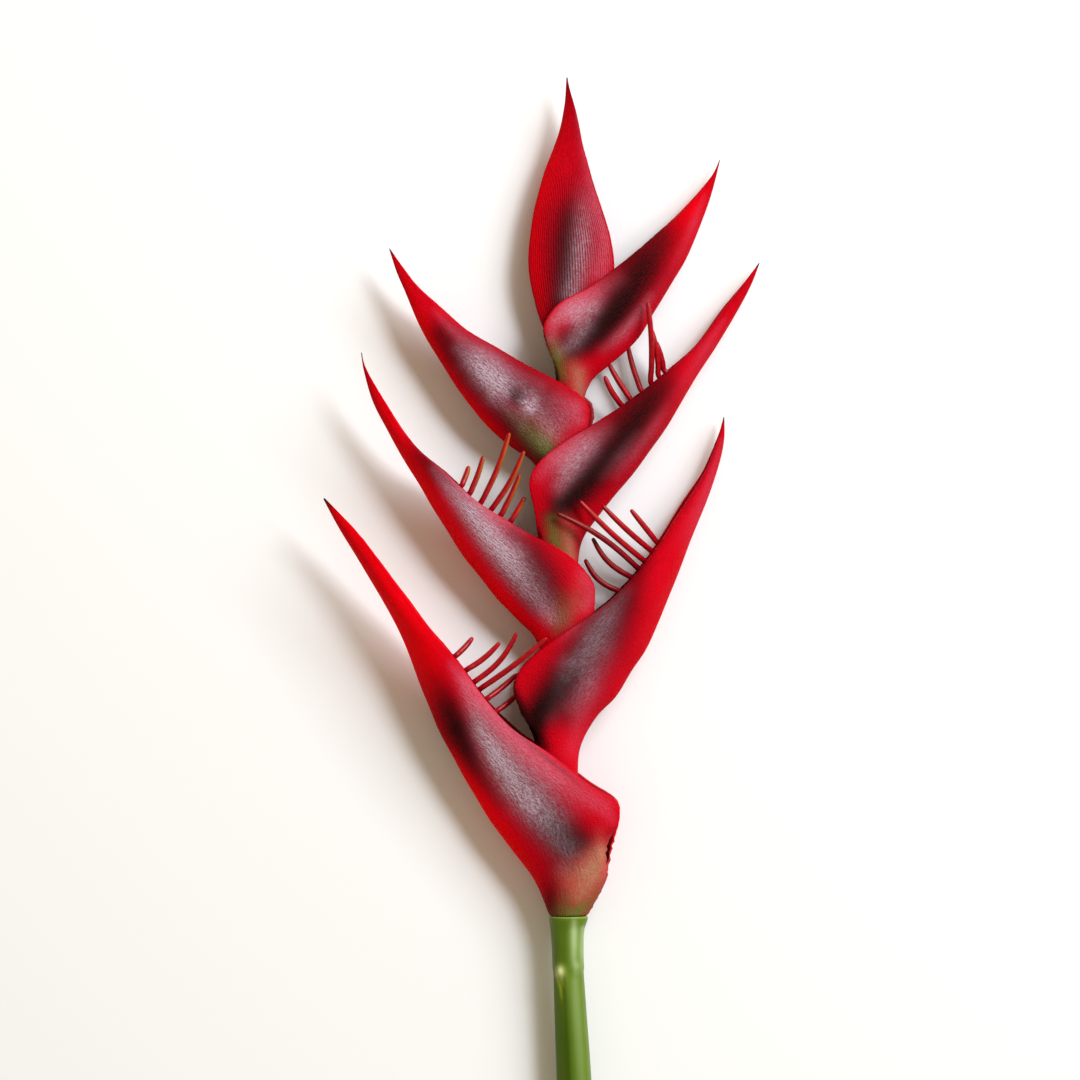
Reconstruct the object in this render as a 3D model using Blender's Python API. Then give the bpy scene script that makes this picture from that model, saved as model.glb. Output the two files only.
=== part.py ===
"""Heliconia flower: a cut head of seven boat-shaped bracts and its stem, lying on a flat surface.

The head lies along Y with its tip toward +Y. Every bract is a thin folded leaf: a keel on the
outside, two cheeks, and two lips with an open mouth between them. Its closed neck is a ring round
the stem's thin axis, and each bract sits in the mouth of the one below it.
"""
import math

import bmesh
import bpy
import numpy as np

MM = 0.001
WELD_DISTANCE = 1e-6

# Driving sizes, in millimetres, with Y measured from the top of the green stem
STEM_VISIBLE = 79.0
STEM_HIDDEN = 118.5
STEM_END = -(STEM_VISIBLE + STEM_HIDDEN)
AXIS_HEIGHT = 15.5
SIDE_SLOPE = 0.04
COLLAR_Y = -0.8

# Section of a bract, as shares of its depth and of its half thickness, from keel to lip
KEEL_SHOULDER = (0.40, 0.55)
RIDGE_SWELL = 0.70
CHEEK_STEPS = (0.17, 0.36, 0.55, 0.72, 0.87, 1.0)
CHEEK_SWELL = (0.86, 0.96, 1.0, 0.99, 0.95)
LIP_SWELL_BASE = 0.88
LIP_SWELL_TIP = 0.55
LIPS_CLOSE_FROM = 0.45
LIPS_CLOSE_OVER = 0.50
RING_TURN = math.radians(165.0)
SECTION_STEPS = 2 + len(CHEEK_STEPS)

# Course of a bract: mesh stations per row, how a tip rises, and how far a belly's sag spreads
STATIONS_PER_ROW = 1.75
TIP_LIFT_POWER = 2.4
BELLY_SPREAD = 1.6
NEARLY_STRAIGHT = 0.05
LEAST_HALF_MOUTH = 0.7
LEAST_DEPTH_IN_WALLS = 7.0

# Each bract: one row per station from neck to tip, as keel X, Y, lip X, Y and half thickness
BRACTS = {
    "bract_left_3": {
        "rows": [
            (-8.4, -0.5, 9.8, -0.5, 9.1), (-15.8, 16.8, 19.2, 16.8, 11.5),
            (-26.9, 31.7, 22.3, 31.7, 13.2), (-37.4, 45.6, 25.2, 43.7, 14.2),
            (-47.0, 61.0, 24.5, 54.7, 14.8), (-54.2, 74.4, 11.0, 63.8, 15.0),
            (-61.4, 88.3, -5.3, 76.8, 14.6), (-68.2, 104.2, -22.6, 88.3, 13.8),
            (-74.4, 120.5, -37.9, 103.2, 12.6), (-80.6, 136.8, -50.9, 121.0, 11.0),
            (-89.8, 153.6, -64.8, 137.3, 8.8), (-100.8, 172.3, -80.2, 157.9, 6.0),
            (-109.9, 187.2, -98.4, 181.9, 3.2), (-116.4, 199.7, -115.7, 200.2, 0.6)],
        "wall": 1.5, "open_row": 2.2, "ridge": 0.26, "tip_lift": 15.0,
        "belly_row": 6.0, "belly_sag": 4.4},
    "bract_right_3": {
        "rows": [
            (6.2, 49.4, -9.1, 49.4, 7.65), (5.4, 69.6, -13.0, 72.0, 8.5),
            (7.2, 82.1, -17.3, 87.4, 9.8), (14.4, 95.0, -23.5, 98.9, 11.6),
            (23.5, 104.6, -25.8, 109.9, 13.0), (31.2, 116.6, -20.2, 121.0, 13.8),
            (38.9, 128.6, -3.8, 134.4, 14.2), (45.1, 143.0, 12.0, 145.2, 14.2),
            (51.8, 158.9, 26.4, 157.9, 12.6), (58.6, 177.1, 39.4, 173.3, 10.6),
            (65.3, 193.9, 52.8, 194.4, 7.8), (72.0, 212.2, 64.8, 212.6, 5.0),
            (75.6, 227.5, 72.5, 229.9, 2.6), (75.8, 239.0, 75.4, 239.5, 0.6)],
        "wall": 1.4, "open_row": 1.6, "ridge": 0.20, "tip_lift": -5.5,
        "belly_row": 6.0, "belly_sag": 1.0},
    "bract_left_2": {
        "rows": [
            (-8.9, 108.0, 5.1, 108.0, 7.0), (-11.5, 121.0, 9.1, 123.4, 8.4),
            (-15.8, 133.4, 12.0, 137.8, 9.1), (-23.5, 141.1, 13.9, 151.2, 10.3),
            (-32.2, 150.2, 12.5, 160.8, 12.0), (-40.8, 160.6, 1.9, 172.3, 13.2),
            (-49.0, 170.4, -13.0, 181.0, 13.0), (-58.1, 185.0, -27.4, 188.9, 12.0),
            (-67.2, 199.7, -42.7, 198.5, 10.2), (-76.3, 215.0, -57.6, 212.6, 7.8),
            (-85.0, 230.4, -71.8, 224.2, 5.4), (-93.1, 246.7, -84.5, 242.4, 3.2),
            (-97.1, 260.6, -95.5, 261.1, 1.2), (-98.4, 269.5, -98.0, 269.5, 0.5)],
        "wall": 1.4, "open_row": 1.6, "ridge": 0.26, "tip_lift": 13.5,
        "belly_row": 5.6, "belly_sag": 5.6},
    "bract_right_2": {
        "rows": [
            (4.6, 151.2, -8.4, 151.2, 6.5), (5.3, 165.6, -11.0, 167.5, 7.3),
            (7.4, 179.5, -14.4, 182.4, 8.6), (14.4, 190.3, -16.1, 195.8, 10.4),
            (21.6, 199.4, -18.4, 207.8, 12.0), (28.8, 208.1, -14.4, 217.0, 12.9),
            (36.0, 217.0, -2.4, 226.8, 13.4), (44.2, 228.2, 14.4, 236.9, 12.9),
            (52.3, 241.0, 31.2, 248.4, 10.6), (61.4, 256.8, 47.5, 261.4, 8.2),
            (71.5, 272.6, 62.4, 275.0, 5.8), (81.1, 288.5, 74.9, 291.6, 3.6),
            (88.8, 302.9, 85.4, 304.3, 1.8), (92.8, 313.4, 92.4, 313.5, 0.5)],
        "wall": 1.4, "open_row": 1.6, "ridge": 0.20, "tip_lift": -5.0,
        "belly_row": 6.0, "belly_sag": 0.0},
    "bract_left_1": {
        "rows": [
            (-9.1, 199.2, 2.4, 199.2, 5.75), (-12.0, 208.8, 6.0, 212.6, 7.0),
            (-17.3, 218.2, 9.8, 226.6, 7.8), (-26.4, 223.9, 13.0, 239.0, 9.0),
            (-35.5, 231.4, 11.0, 246.7, 10.4), (-43.7, 240.2, -1.9, 254.9, 11.4),
            (-51.6, 250.8, -16.8, 263.0, 10.8), (-58.6, 261.6, -32.2, 271.7, 9.4),
            (-65.8, 273.4, -47.5, 280.6, 7.4), (-72.2, 285.8, -60.0, 291.6, 5.2),
            (-77.8, 299.5, -71.5, 301.7, 3.2), (-82.1, 309.6, -78.2, 310.3, 1.8),
            (-85.3, 319.7, -84.9, 319.7, 0.5)],
        "wall": 1.3, "open_row": 1.6, "ridge": 0.24, "tip_lift": 2.0,
        "belly_row": 5.0, "belly_sag": 0.0},
    "bract_right_1": {
        "rows": [
            (6.4, 235.2, -3.6, 235.2, 5.0), (7.7, 246.2, -4.8, 249.6, 6.0),
            (12.0, 256.6, -6.7, 264.5, 7.6), (20.2, 263.5, -10.6, 275.0, 9.2),
            (28.3, 270.2, -11.0, 283.7, 10.4), (35.5, 278.4, -3.8, 293.5, 11.0),
            (42.2, 289.4, 10.1, 301.2, 11.1), (49.4, 301.2, 23.5, 310.8, 10.4),
            (56.2, 313.2, 36.5, 321.8, 8.6), (62.4, 326.9, 49.9, 333.8, 5.8),
            (67.7, 340.1, 61.4, 345.6, 3.6), (71.5, 353.3, 69.8, 355.7, 1.6),
            (73.7, 362.9, 73.4, 363.1, 0.5)],
        "wall": 1.2, "open_row": 1.4, "ridge": 0.20, "tip_lift": -5.5,
        "belly_row": 5.0, "belly_sag": 0.0},
    "bract_top": {
        "rows": [
            (-3.9, 264.0, 4.9, 264.0, 4.4), (-7.4, 273.5, 11.6, 274.5, 4.9),
            (-13.9, 287.8, 19.0, 291.5, 5.2), (-18.1, 305.3, 22.6, 307.5, 5.8),
            (-18.4, 321.6, 21.4, 323.0, 6.3), (-16.2, 337.9, 17.1, 337.9, 6.0),
            (-12.2, 353.3, 12.3, 353.3, 5.0), (-7.7, 366.2, 8.6, 366.5, 4.0),
            (-3.4, 377.8, 6.2, 377.5, 3.0), (-1.2, 388.3, 3.6, 388.3, 1.9),
            (-0.6, 397.4, 1.2, 397.4, 1.0), (-0.3, 402.0, 0.3, 402.0, 0.5)],
        "wall": 1.2, "open_row": 2.0, "ridge": 0.20, "tip_lift": 0.0,
        "belly_row": 4.0, "belly_sag": 0.0},
}

# Green stem with its flared collar, and the zigzag axis inside the head: X, Y and radius
STEM_RINGS = [
    (9.1, STEM_END, 9.2), (8.2, -180.0, 9.2), (5.8, -130.0, 9.0), (3.4, -79.2, 8.8),
    (1.6, -45.0, 8.1), (0.6, -24.0, 7.6), (0.3, -14.0, 7.7), (0.2, -7.5, 8.1), (0.7, -2.2, 9.2),
    (0.7, COLLAR_Y, 9.1), (0.7, COLLAR_Y + 0.1, 7.1)]
AXIS_RINGS = [
    (0.7, 8.0, 6.9), (-0.4, 28.0, 6.2), (-1.45, 49.4, 5.65), (-2.3, 74.0, 5.4), (-2.2, 92.0, 5.2),
    (-1.9, 108.0, 5.0), (-1.9, 130.0, 4.8), (-1.9, 151.2, 4.5), (-2.4, 175.0, 4.2),
    (-3.35, 199.2, 3.85), (-1.4, 217.0, 3.6), (1.4, 235.2, 3.25), (1.2, 250.0, 3.0),
    (0.5, 264.0, 2.7), (0.8, 271.0, 2.3)]
STEM_SIDES = 18
STEM_LEVEL_FROM = -14.0
STEM_DROP_AT_END = 6.6
NUB_PLACE = (-3.4, -27.0, 21.1)
NUB_SIZE = (2.6, 4.0, 1.5)

# Six florets in each of four bracts: base X, Y, tip X, Y, lift of base and tip, sideways bow
FLORETS = {
    "florets_left_3": {
        "rows": [
            (-33.3, 98.4, -23.4, 106.6, 0.0, 0.5, 0.4), (-38.1, 104.2, -24.0, 115.8, 2.0, 2.0, 0.4),
            (-41.3, 109.0, -9.6, 133.4, 4.0, 16.5, 0.8), (-44.2, 112.3, -24.0, 135.8, 3.5, 9.0, 2.6),
            (-47.8, 118.1, -32.2, 131.0, 3.0, 7.0, 1.0), (-53.3, 124.6, -45.1, 133.4, 2.5, 5.0, 0.4)],
        "stalk": [(-7.9, 40.0), (-14.0, 41.5), (-25.0, 66.0), (-33.0, 84.0)],
        "keelward": (-3.6, -2.7), "lift": (4.0, 6.5)},
    "florets_right_3": {
        "rows": [
            (24.7, 155.5, 8.6, 170.8, 1.0, 3.0, -2.6), (30.7, 162.2, 12.2, 181.0, 1.5, 6.0, -2.6),
            (34.0, 166.6, -4.8, 192.7, 3.0, 15.0, 2.4), (36.7, 170.4, 6.0, 198.7, 3.0, 14.5, -1.0),
            (39.8, 175.4, 16.8, 196.6, 3.0, 11.0, -0.6), (43.2, 179.0, 30.5, 194.6, 2.0, 5.0, 0.0)],
        "stalk": [(4.0, 97.0), (9.5, 98.5), (17.0, 110.0), (23.5, 129.0)],
        "keelward": (3.6, -2.7), "lift": (-1.7, -2.3)},
    "florets_left_2": {
        "rows": [
            (-26.7, 189.4, -20.3, 200.6, 1.5, 4.0, 0.2), (-31.7, 192.0, -22.6, 211.4, 2.0, 6.0, 0.4),
            (-36.5, 194.4, -20.6, 222.7, 2.5, 9.5, 1.4), (-41.3, 197.8, -27.6, 231.4, 3.0, 10.5, 1.2),
            (-46.6, 202.3, -40.1, 220.3, 3.0, 7.0, 0.6), (-50.4, 206.2, -47.0, 215.5, 2.0, 5.0, 0.2)],
        "stalk": [(-7.6, 139.5), (-12.5, 141.0), (-17.5, 150.0), (-26.0, 168.0)],
        "keelward": (-3.4, -2.9), "lift": (3.1, 4.8)},
    "florets_right_2": {
        "rows": [
            (26.2, 244.8, 18.0, 258.7, 1.0, 3.0, -0.8), (30.5, 247.9, 20.0, 265.0, -2.0, -6.5, -0.4),
            (35.7, 252.0, 29.2, 274.0, -1.5, -7.0, -0.6), (40.3, 255.4, 38.6, 293.8, 1.5, 10.5, 1.0),
            (44.0, 258.9, 40.6, 281.0, 1.0, 4.0, 0.8), (46.6, 261.6, 42.6, 275.5, 0.0, 2.0, 0.4)],
        "stalk": [(2.0, 188.0), (6.5, 189.5), (16.0, 206.0), (24.0, 228.0)],
        "keelward": (3.4, -2.6), "lift": (-1.4, -1.4)},
}
FLORET_RADIUS = 1.35
FLORET_TAPER = (1.0, 1.0, 0.98, 0.94, 0.88, 0.78, 0.42)
FLORET_SIDES = 8
STALK_RADIUS = 2.1
STALK_END_RADIUS = 1.5

# Linear base colours, roughness, and the angle above which a shaded edge stays sharp
LEFT_RED = (0.60, 0.008, 0.018)
RIGHT_RED = (0.42, 0.006, 0.014)
FLORET_RED = (0.50, 0.02, 0.02)
GREEN = (0.12, 0.20, 0.03)
BRACT_ROUGHNESS = 0.45
STEM_ROUGHNESS = 0.40
SHARP_ANGLE = math.radians(45.0)


def clear_scene():
    for obj in list(bpy.data.objects):
        bpy.data.objects.remove(obj)


def make_collection(name):
    group = bpy.data.collections.new(name)
    bpy.context.scene.collection.children.link(group)
    return group


def make_material(name, color, roughness, metallic=0.0):
    material = bpy.data.materials.new(name)
    material.use_nodes = True
    shader = material.node_tree.nodes["Principled BSDF"]
    shader.inputs["Base Color"].default_value = (*color, 1.0)
    shader.inputs["Roughness"].default_value = roughness
    shader.inputs["Metallic"].default_value = metallic
    return material


def ease(share):
    share = min(max(share, 0.0), 1.0)
    return share * share * (3.0 - 2.0 * share)


def curve_at(rows, row):
    """Values at a fractional row, on the smooth curve through all rows."""
    last = len(rows) - 1
    start = min(int(row), last - 1)
    part = row - start
    near = [rows[min(max(start + step, 0), last)] for step in (-1, 0, 1, 2)]
    before, here, after, beyond = np.array(near)
    linear = after - before
    square = 2 * before - 5 * here + 4 * after - beyond
    cube = 3 * here - before - 3 * after + beyond
    return 0.5 * (2 * here + linear * part + square * part ** 2 + cube * part ** 3)


def mid_height(x):
    """Height of the head's middle plane, which falls a little toward +X."""
    return AXIS_HEIGHT - SIDE_SLOPE * x


def lip_swell_at(bract, row):
    """How far apart the lips stand, as a share of the full thickness: they close to the tip."""
    along = row / (len(bract["rows"]) - 1)
    closing = ease((along - LIPS_CLOSE_FROM) / LIPS_CLOSE_OVER)
    return LIP_SWELL_BASE + (LIP_SWELL_TIP - LIP_SWELL_BASE) * closing


def has_hollow(bract, row):
    """Whether the bract is deep and thick enough here for walls with a space between its lips."""
    keel_x, keel_y, lip_x, lip_y, half = curve_at(bract["rows"], row)
    deep = math.hypot(lip_x - keel_x, lip_y - keel_y) > LEAST_DEPTH_IN_WALLS * bract["wall"]
    thick = half * lip_swell_at(bract, row) > bract["wall"] + LEAST_HALF_MOUTH
    return row < 1 or deep and thick


def half_section(bract, row):
    """Points from keel to lip on the upper side: distance from the keel, and height."""
    keel_x, keel_y, lip_x, lip_y, half = curve_at(bract["rows"], row)
    depth = math.hypot(lip_x - keel_x, lip_y - keel_y)
    boat_share = ease(row / (bract["open_row"] + 1.0))
    lip_swell = lip_swell_at(bract, row)
    ridge = bract["ridge"]
    shoulder_u, shoulder_w = KEEL_SHOULDER
    boat = [(0.0, 0.0), (shoulder_u * ridge, shoulder_w * RIDGE_SWELL), (ridge, RIDGE_SWELL)]
    for step, swell in zip(CHEEK_STEPS, (*CHEEK_SWELL, lip_swell)):
        boat.append((ridge + (1.0 - ridge) * step, swell))
    points = []
    for index, (boat_u, boat_w) in enumerate(boat):
        turn = RING_TURN * index / SECTION_STEPS
        ring_u = 0.5 * (1.0 - math.cos(turn))
        ring_w = math.sin(turn)
        points.append((depth * (ring_u + (boat_u - ring_u) * boat_share),
                       half * (ring_w + (boat_w - ring_w) * boat_share)))
    return points


def section_loop(bract, row):
    """Closed outline of a section: keel, upper cheek to its lip, lower lip, lower cheek."""
    upper = half_section(bract, row)
    half = curve_at(bract["rows"], row)[4]
    reach = (row - bract["belly_row"]) / BELLY_SPREAD
    sag = bract["belly_sag"] * math.exp(-reach * reach)
    lower = [(along, -(height + sag * height / half)) for along, height in upper[1:]]
    return np.array(upper + lower[::-1])


def inner_loop(bract, row, is_open):
    """The same outline moved in by the wall, all round or only as far as an open mouth."""
    loop = section_loop(bract, row)
    edges = np.roll(loop, -1, axis=0) - loop
    normals = np.stack([edges[:, 1], -edges[:, 0]], axis=1)
    normals /= np.linalg.norm(normals, axis=1)[:, None]
    shifts = np.full(len(loop), bract["wall"])
    shifts[SECTION_STEPS] = 0.0 if is_open else bract["wall"]
    moved = []
    for index, place in enumerate(loop):
        pair = np.array([normals[index - 1], normals[index]])
        shift = np.array([shifts[index - 1], shifts[index]])
        if abs(np.linalg.det(pair)) < NEARLY_STRAIGHT:
            moved.append(place + normals[index] * shift.mean())
        else:
            moved.append(place + np.linalg.solve(pair, shift))
    return np.array(moved)


def place_loop(bract, row, loop, floor):
    """Section points as places in space, in metres, none lower than the floor height."""
    keel_x, keel_y, lip_x, lip_y, _ = curve_at(bract["rows"], row)
    depth = math.hypot(lip_x - keel_x, lip_y - keel_y)
    toward = ((lip_x - keel_x) / depth, (lip_y - keel_y) / depth)
    lift = bract["tip_lift"] * (row / (len(bract["rows"]) - 1)) ** TIP_LIFT_POWER
    places = []
    for along, height in loop:
        x = keel_x + toward[0] * along
        y = keel_y + toward[1] * along
        z = max(mid_height(x) + lift + height, floor)
        places.append((x * MM, y * MM, z * MM))
    return places


def add_strip(solid, first, second, skipped=None):
    """Faces between two rings of the same number of points, all round or all but one."""
    for index in range(len(first)):
        following = (index + 1) % len(first)
        if index != skipped:
            solid.faces.new((first[index], first[following], second[following], second[index]))


def finish_solid(solid, name, group, material):
    """Turn a closed set of faces outward and make it an object."""
    bmesh.ops.recalc_face_normals(solid, faces=solid.faces)
    bmesh.ops.triangulate(solid, faces=solid.faces, quad_method="SHORT_EDGE")
    if solid.calc_volume(signed=True) < 0:
        bmesh.ops.reverse_faces(solid, faces=solid.faces)
    mesh = bpy.data.meshes.new(name)
    solid.to_mesh(mesh)
    solid.free()
    mesh.shade_smooth()
    mesh.set_sharp_from_angle(angle=SHARP_ANGLE)
    mesh.materials.append(material)
    obj = bpy.data.objects.new(name, mesh)
    group.objects.link(obj)
    return obj


def build_bract(name, bract, parts):
    """One bract as a thin shell: outer and inner skins that meet at the neck and along the lips.

    The neck is a closed tube as far as the row where the mouth opens, and the tip is solid.
    """
    last = len(bract["rows"]) - 1
    stations = np.linspace(0.0, last, round(last * STATIONS_PER_ROW) + 1)
    hollow = [row for row in stations if has_hollow(bract, row)]
    opening = max(index for index, row in enumerate(hollow) if row <= bract["open_row"])
    closing = len(hollow) - 1
    solid = bmesh.new()
    outer = []
    inner = []
    for index, row in enumerate(stations):
        places = place_loop(bract, row, section_loop(bract, row), 0.0)
        outer.append([solid.verts.new(place) for place in places])
        if index <= closing:
            loop = inner_loop(bract, row, opening < index < closing)
            places = place_loop(bract, row, loop, bract["wall"])
            inner.append([solid.verts.new(place) for place in places])
    upper_lip = SECTION_STEPS
    lower_lip = SECTION_STEPS + 1
    for index in range(len(stations) - 1):
        is_mouth = opening <= index < closing
        skipped = upper_lip if is_mouth else None
        add_strip(solid, outer[index], outer[index + 1], skipped)
        if index < closing:
            add_strip(solid, inner[index], inner[index + 1], skipped)
        if is_mouth:
            for lip in (upper_lip, lower_lip):
                solid.faces.new((outer[index][lip], outer[index + 1][lip],
                                 inner[index + 1][lip], inner[index][lip]))
    for index in (opening, closing):
        solid.faces.new((outer[index][upper_lip], outer[index][lower_lip],
                         inner[index][lower_lip], inner[index][upper_lip]))
    add_strip(solid, outer[0], inner[0])
    solid.faces.new(inner[closing])
    solid.faces.new(outer[-1])
    color = RIGHT_RED if "right" in name else LEFT_RED
    return finish_solid(solid, name, parts, make_material(name, color, BRACT_ROUGHNESS))


def apply_modifiers(obj):
    """Replace an object's mesh with the one its modifiers give."""
    graph = bpy.context.evaluated_depsgraph_get()
    mesh = bpy.data.meshes.new_from_object(obj.evaluated_get(graph))
    obj.modifiers.clear()
    obj.data = mesh


def tube(name, points, radii, sides, group):
    """A round rod along points in millimetres, with a radius at each, as a closed mesh."""
    data = bpy.data.curves.new(name, "CURVE")
    data.dimensions = "3D"
    data.bevel_depth = MM
    data.bevel_resolution = sides // 2 - 2
    data.use_fill_caps = True
    spline = data.splines.new("POLY")
    spline.points.add(len(points) - 1)
    for point, place, radius in zip(spline.points, points, radii):
        point.co = (place[0] * MM, place[1] * MM, place[2] * MM, 1.0)
        point.radius = radius
    rod = bpy.data.objects.new(name + "_curve", data)
    bpy.context.scene.collection.objects.link(rod)
    bpy.context.view_layer.update()
    graph = bpy.context.evaluated_depsgraph_get()
    mesh = bpy.data.meshes.new_from_object(rod.evaluated_get(graph))
    solid = bmesh.new()
    solid.from_mesh(mesh)
    bmesh.ops.remove_doubles(solid, verts=solid.verts, dist=WELD_DISTANCE)
    bmesh.ops.recalc_face_normals(solid, faces=solid.faces)
    solid.to_mesh(mesh)
    solid.free()
    obj = bpy.data.objects.new(name, mesh)
    obj.matrix_world = rod.matrix_world
    group.objects.link(obj)
    bpy.data.objects.remove(rod)
    return obj


def finish_tube(obj, material):
    obj.data.materials.clear()
    obj.data.materials.append(material)
    obj.data.shade_smooth()
    obj.data.set_sharp_from_angle(angle=SHARP_ANGLE)


def build_stem(parts):
    """The green stem with its flared collar, running on as the thin axis inside the necks."""
    rings = STEM_RINGS + AXIS_RINGS
    route = []
    for x, y, _ in rings:
        along = (y - STEM_LEVEL_FROM) / (STEM_END - STEM_LEVEL_FROM)
        drop = STEM_DROP_AT_END * max(along, 0.0)
        route.append((x, y, mid_height(x) if y > 0 else AXIS_HEIGHT - drop))
    radii = [ring[2] for ring in rings]
    stem = tube("stem", route, radii, STEM_SIDES, parts)
    for vertex in stem.data.vertices:
        vertex.co.z = max(vertex.co.z, 0.0)
    bpy.ops.mesh.primitive_uv_sphere_add(segments=10, ring_count=6, radius=1.0)
    nub = bpy.context.object
    for vertex in nub.data.vertices:
        for side in range(3):
            vertex.co[side] = (NUB_PLACE[side] + vertex.co[side] * NUB_SIZE[side]) * MM
    join = stem.modifiers.new("nub", "BOOLEAN")
    join.operation = "UNION"
    join.object = nub
    apply_modifiers(stem)
    bpy.data.objects.remove(nub)
    finish_tube(stem, make_material("stem", GREEN, STEM_ROUGHNESS))
    return stem


def floret_points(row, root_lift, keelward):
    """Route of one floret: from its root on the stalk over the lip to its tip."""
    base_x, base_y, tip_x, tip_y, base_lift, tip_lift, bow = row
    run_x = tip_x - base_x
    run_y = tip_y - base_y
    length = math.hypot(run_x, run_y)
    lift = root_lift + base_lift
    route = [(base_x + keelward[0], base_y + keelward[1], root_lift)]
    for share in np.linspace(0.0, 1.0, len(FLORET_TAPER) - 1):
        sideways = bow * math.sin(math.pi * share) / length
        rise = math.sin(0.5 * math.pi * share)
        route.append((base_x + run_x * share + run_y * sideways,
                      base_y + run_y * share - run_x * sideways,
                      lift + (tip_lift - lift) * rise))
    return [(x, y, mid_height(x) + rise) for x, y, rise in route]


def build_florets(name, bunch, parts):
    """A bunch of florets fused to the stalk that carries them inside the bract."""
    pieces = bpy.data.collections.new(name + "_pieces")
    bpy.context.scene.collection.children.link(pieces)
    shift_x, shift_y = bunch["keelward"]
    lifts = np.linspace(*bunch["lift"], len(bunch["rows"]))
    start_lifts = np.linspace(0.0, lifts[0], len(bunch["stalk"]) + 1)
    route = [(x, y, mid_height(x) + lift) for (x, y), lift in zip(bunch["stalk"], start_lifts)]
    for row, lift in zip(bunch["rows"], lifts):
        x = row[0] + shift_x
        route.append((x, row[1] + shift_y, mid_height(x) + lift))
    radii = np.linspace(STALK_RADIUS, STALK_END_RADIUS, len(route))
    stalk = tube(name, route, radii, FLORET_SIDES, parts)
    radii = [FLORET_RADIUS * share for share in FLORET_TAPER]
    for index, (row, lift) in enumerate(zip(bunch["rows"], lifts)):
        points = floret_points(row, lift, bunch["keelward"])
        tube(f"{name}_{index}", points, radii, FLORET_SIDES, pieces)
    join = stalk.modifiers.new("florets", "BOOLEAN")
    join.operation = "UNION"
    join.operand_type = "COLLECTION"
    join.collection = pieces
    apply_modifiers(stalk)
    for obj in list(pieces.objects):
        bpy.data.objects.remove(obj)
    bpy.data.collections.remove(pieces)
    finish_tube(stalk, make_material(name, FLORET_RED, STEM_ROUGHNESS))
    return stalk


def centre_on_origin(pieces):
    """Put the middle of the whole flower's footprint at the origin, its lowest points at zero."""
    corners = np.array([vertex.co for obj in pieces for vertex in obj.data.vertices])
    low = corners.min(axis=0)
    high = corners.max(axis=0)
    for obj in pieces:
        obj.location.x -= 0.5 * (low[0] + high[0])
        obj.location.y -= 0.5 * (low[1] + high[1])
        obj.location.z -= low[2]


def main():
    clear_scene()
    parts = make_collection("heliconia_flower")
    objects = [build_stem(parts)]
    for name, bract in BRACTS.items():
        objects.append(build_bract(name, bract, parts))
    for name, bunch in FLORETS.items():
        objects.append(build_florets(name, bunch, parts))
    centre_on_origin(objects)


main()
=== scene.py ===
"""Dresses the heliconia flower: fleshy waxy bracts, florets, green stem, and a pale studio table.

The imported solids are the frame. Every bract, bunch of florets and the stem gets a finer piece of
the same form in its place, with the colours that the photograph shows.
"""
import functools
import math

import bpy
import numpy as np
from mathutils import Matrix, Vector, noise


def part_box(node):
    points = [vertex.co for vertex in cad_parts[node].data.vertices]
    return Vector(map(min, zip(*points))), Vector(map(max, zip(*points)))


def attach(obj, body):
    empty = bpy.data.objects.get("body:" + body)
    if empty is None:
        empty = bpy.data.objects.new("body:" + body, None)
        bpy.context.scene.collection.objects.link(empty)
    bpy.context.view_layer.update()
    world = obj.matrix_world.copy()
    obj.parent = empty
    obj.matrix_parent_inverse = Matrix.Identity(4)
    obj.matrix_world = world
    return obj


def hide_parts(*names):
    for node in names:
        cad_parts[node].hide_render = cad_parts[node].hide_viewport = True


bl_info = {
    "name": "Heliconia Flower",
    "version": (1, 0, 0),
    "blender": (4, 5, 0),
    "location": "View3D > Sidebar > Heliconia",
    "description": "Builds a cut heliconia flower lying on a pale table",
    "category": "Add Mesh",
}

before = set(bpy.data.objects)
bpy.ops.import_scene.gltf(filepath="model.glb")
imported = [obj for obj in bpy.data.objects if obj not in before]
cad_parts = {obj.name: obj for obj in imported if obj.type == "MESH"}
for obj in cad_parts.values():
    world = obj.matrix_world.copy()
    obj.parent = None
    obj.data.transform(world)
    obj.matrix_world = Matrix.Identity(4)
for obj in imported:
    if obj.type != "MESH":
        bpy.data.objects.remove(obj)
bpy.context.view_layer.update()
MM = 0.001

# The head's own measures start at the top of the green stem, as the solids do
TIP_ABOVE_STEM = 402.0
LEFTMOST = -116.4
HEAD_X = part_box("bract_left_3")[0].x / MM - LEFTMOST
HEAD_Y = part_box("bract_top")[1].y / MM - TIP_ABOVE_STEM
STEM_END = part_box("stem")[0].y / MM - HEAD_Y
AXIS_HEIGHT = 15.5
SIDE_SLOPE = 0.04

# Places on the photograph are pixels, from its left edge and its top edge
MM_PER_PIXEL = 0.48
STEM_TOP_PIXEL = (567.0, 915.0)
PHOTO_MIDDLE_PIXEL = (540.0, 540.0)
PHOTO_PIXELS = 1080
PHOTO_WIDTH = PHOTO_PIXELS * MM_PER_PIXEL * MM

# Section of a bract, as shares of its depth and of its half thickness, from keel to lip
KEEL_SHOULDER = (0.40, 0.55)
RIDGE_SWELL = 0.70
CHEEK_STEPS = (0.17, 0.36, 0.55, 0.72, 0.87, 1.0)
CHEEK_SWELL = (0.86, 0.96, 1.0, 0.99, 0.95)
SECTION_STEPS = 2 + len(CHEEK_STEPS)
LIP_SWELL_BASE = 0.88
LIP_SWELL_TIP = 0.55
LIPS_CLOSE_FROM = 0.45
LIPS_CLOSE_OVER = 0.50

# Near the neck, in rows: where lips part, where the round neck is a boat, and how far it is closed
LIPS_PART_BEFORE = 0.5
LIPS_PART_OVER = 1.3
BOAT_AFTER = 1.0
CLOSED_PAST = 0.1

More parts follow.
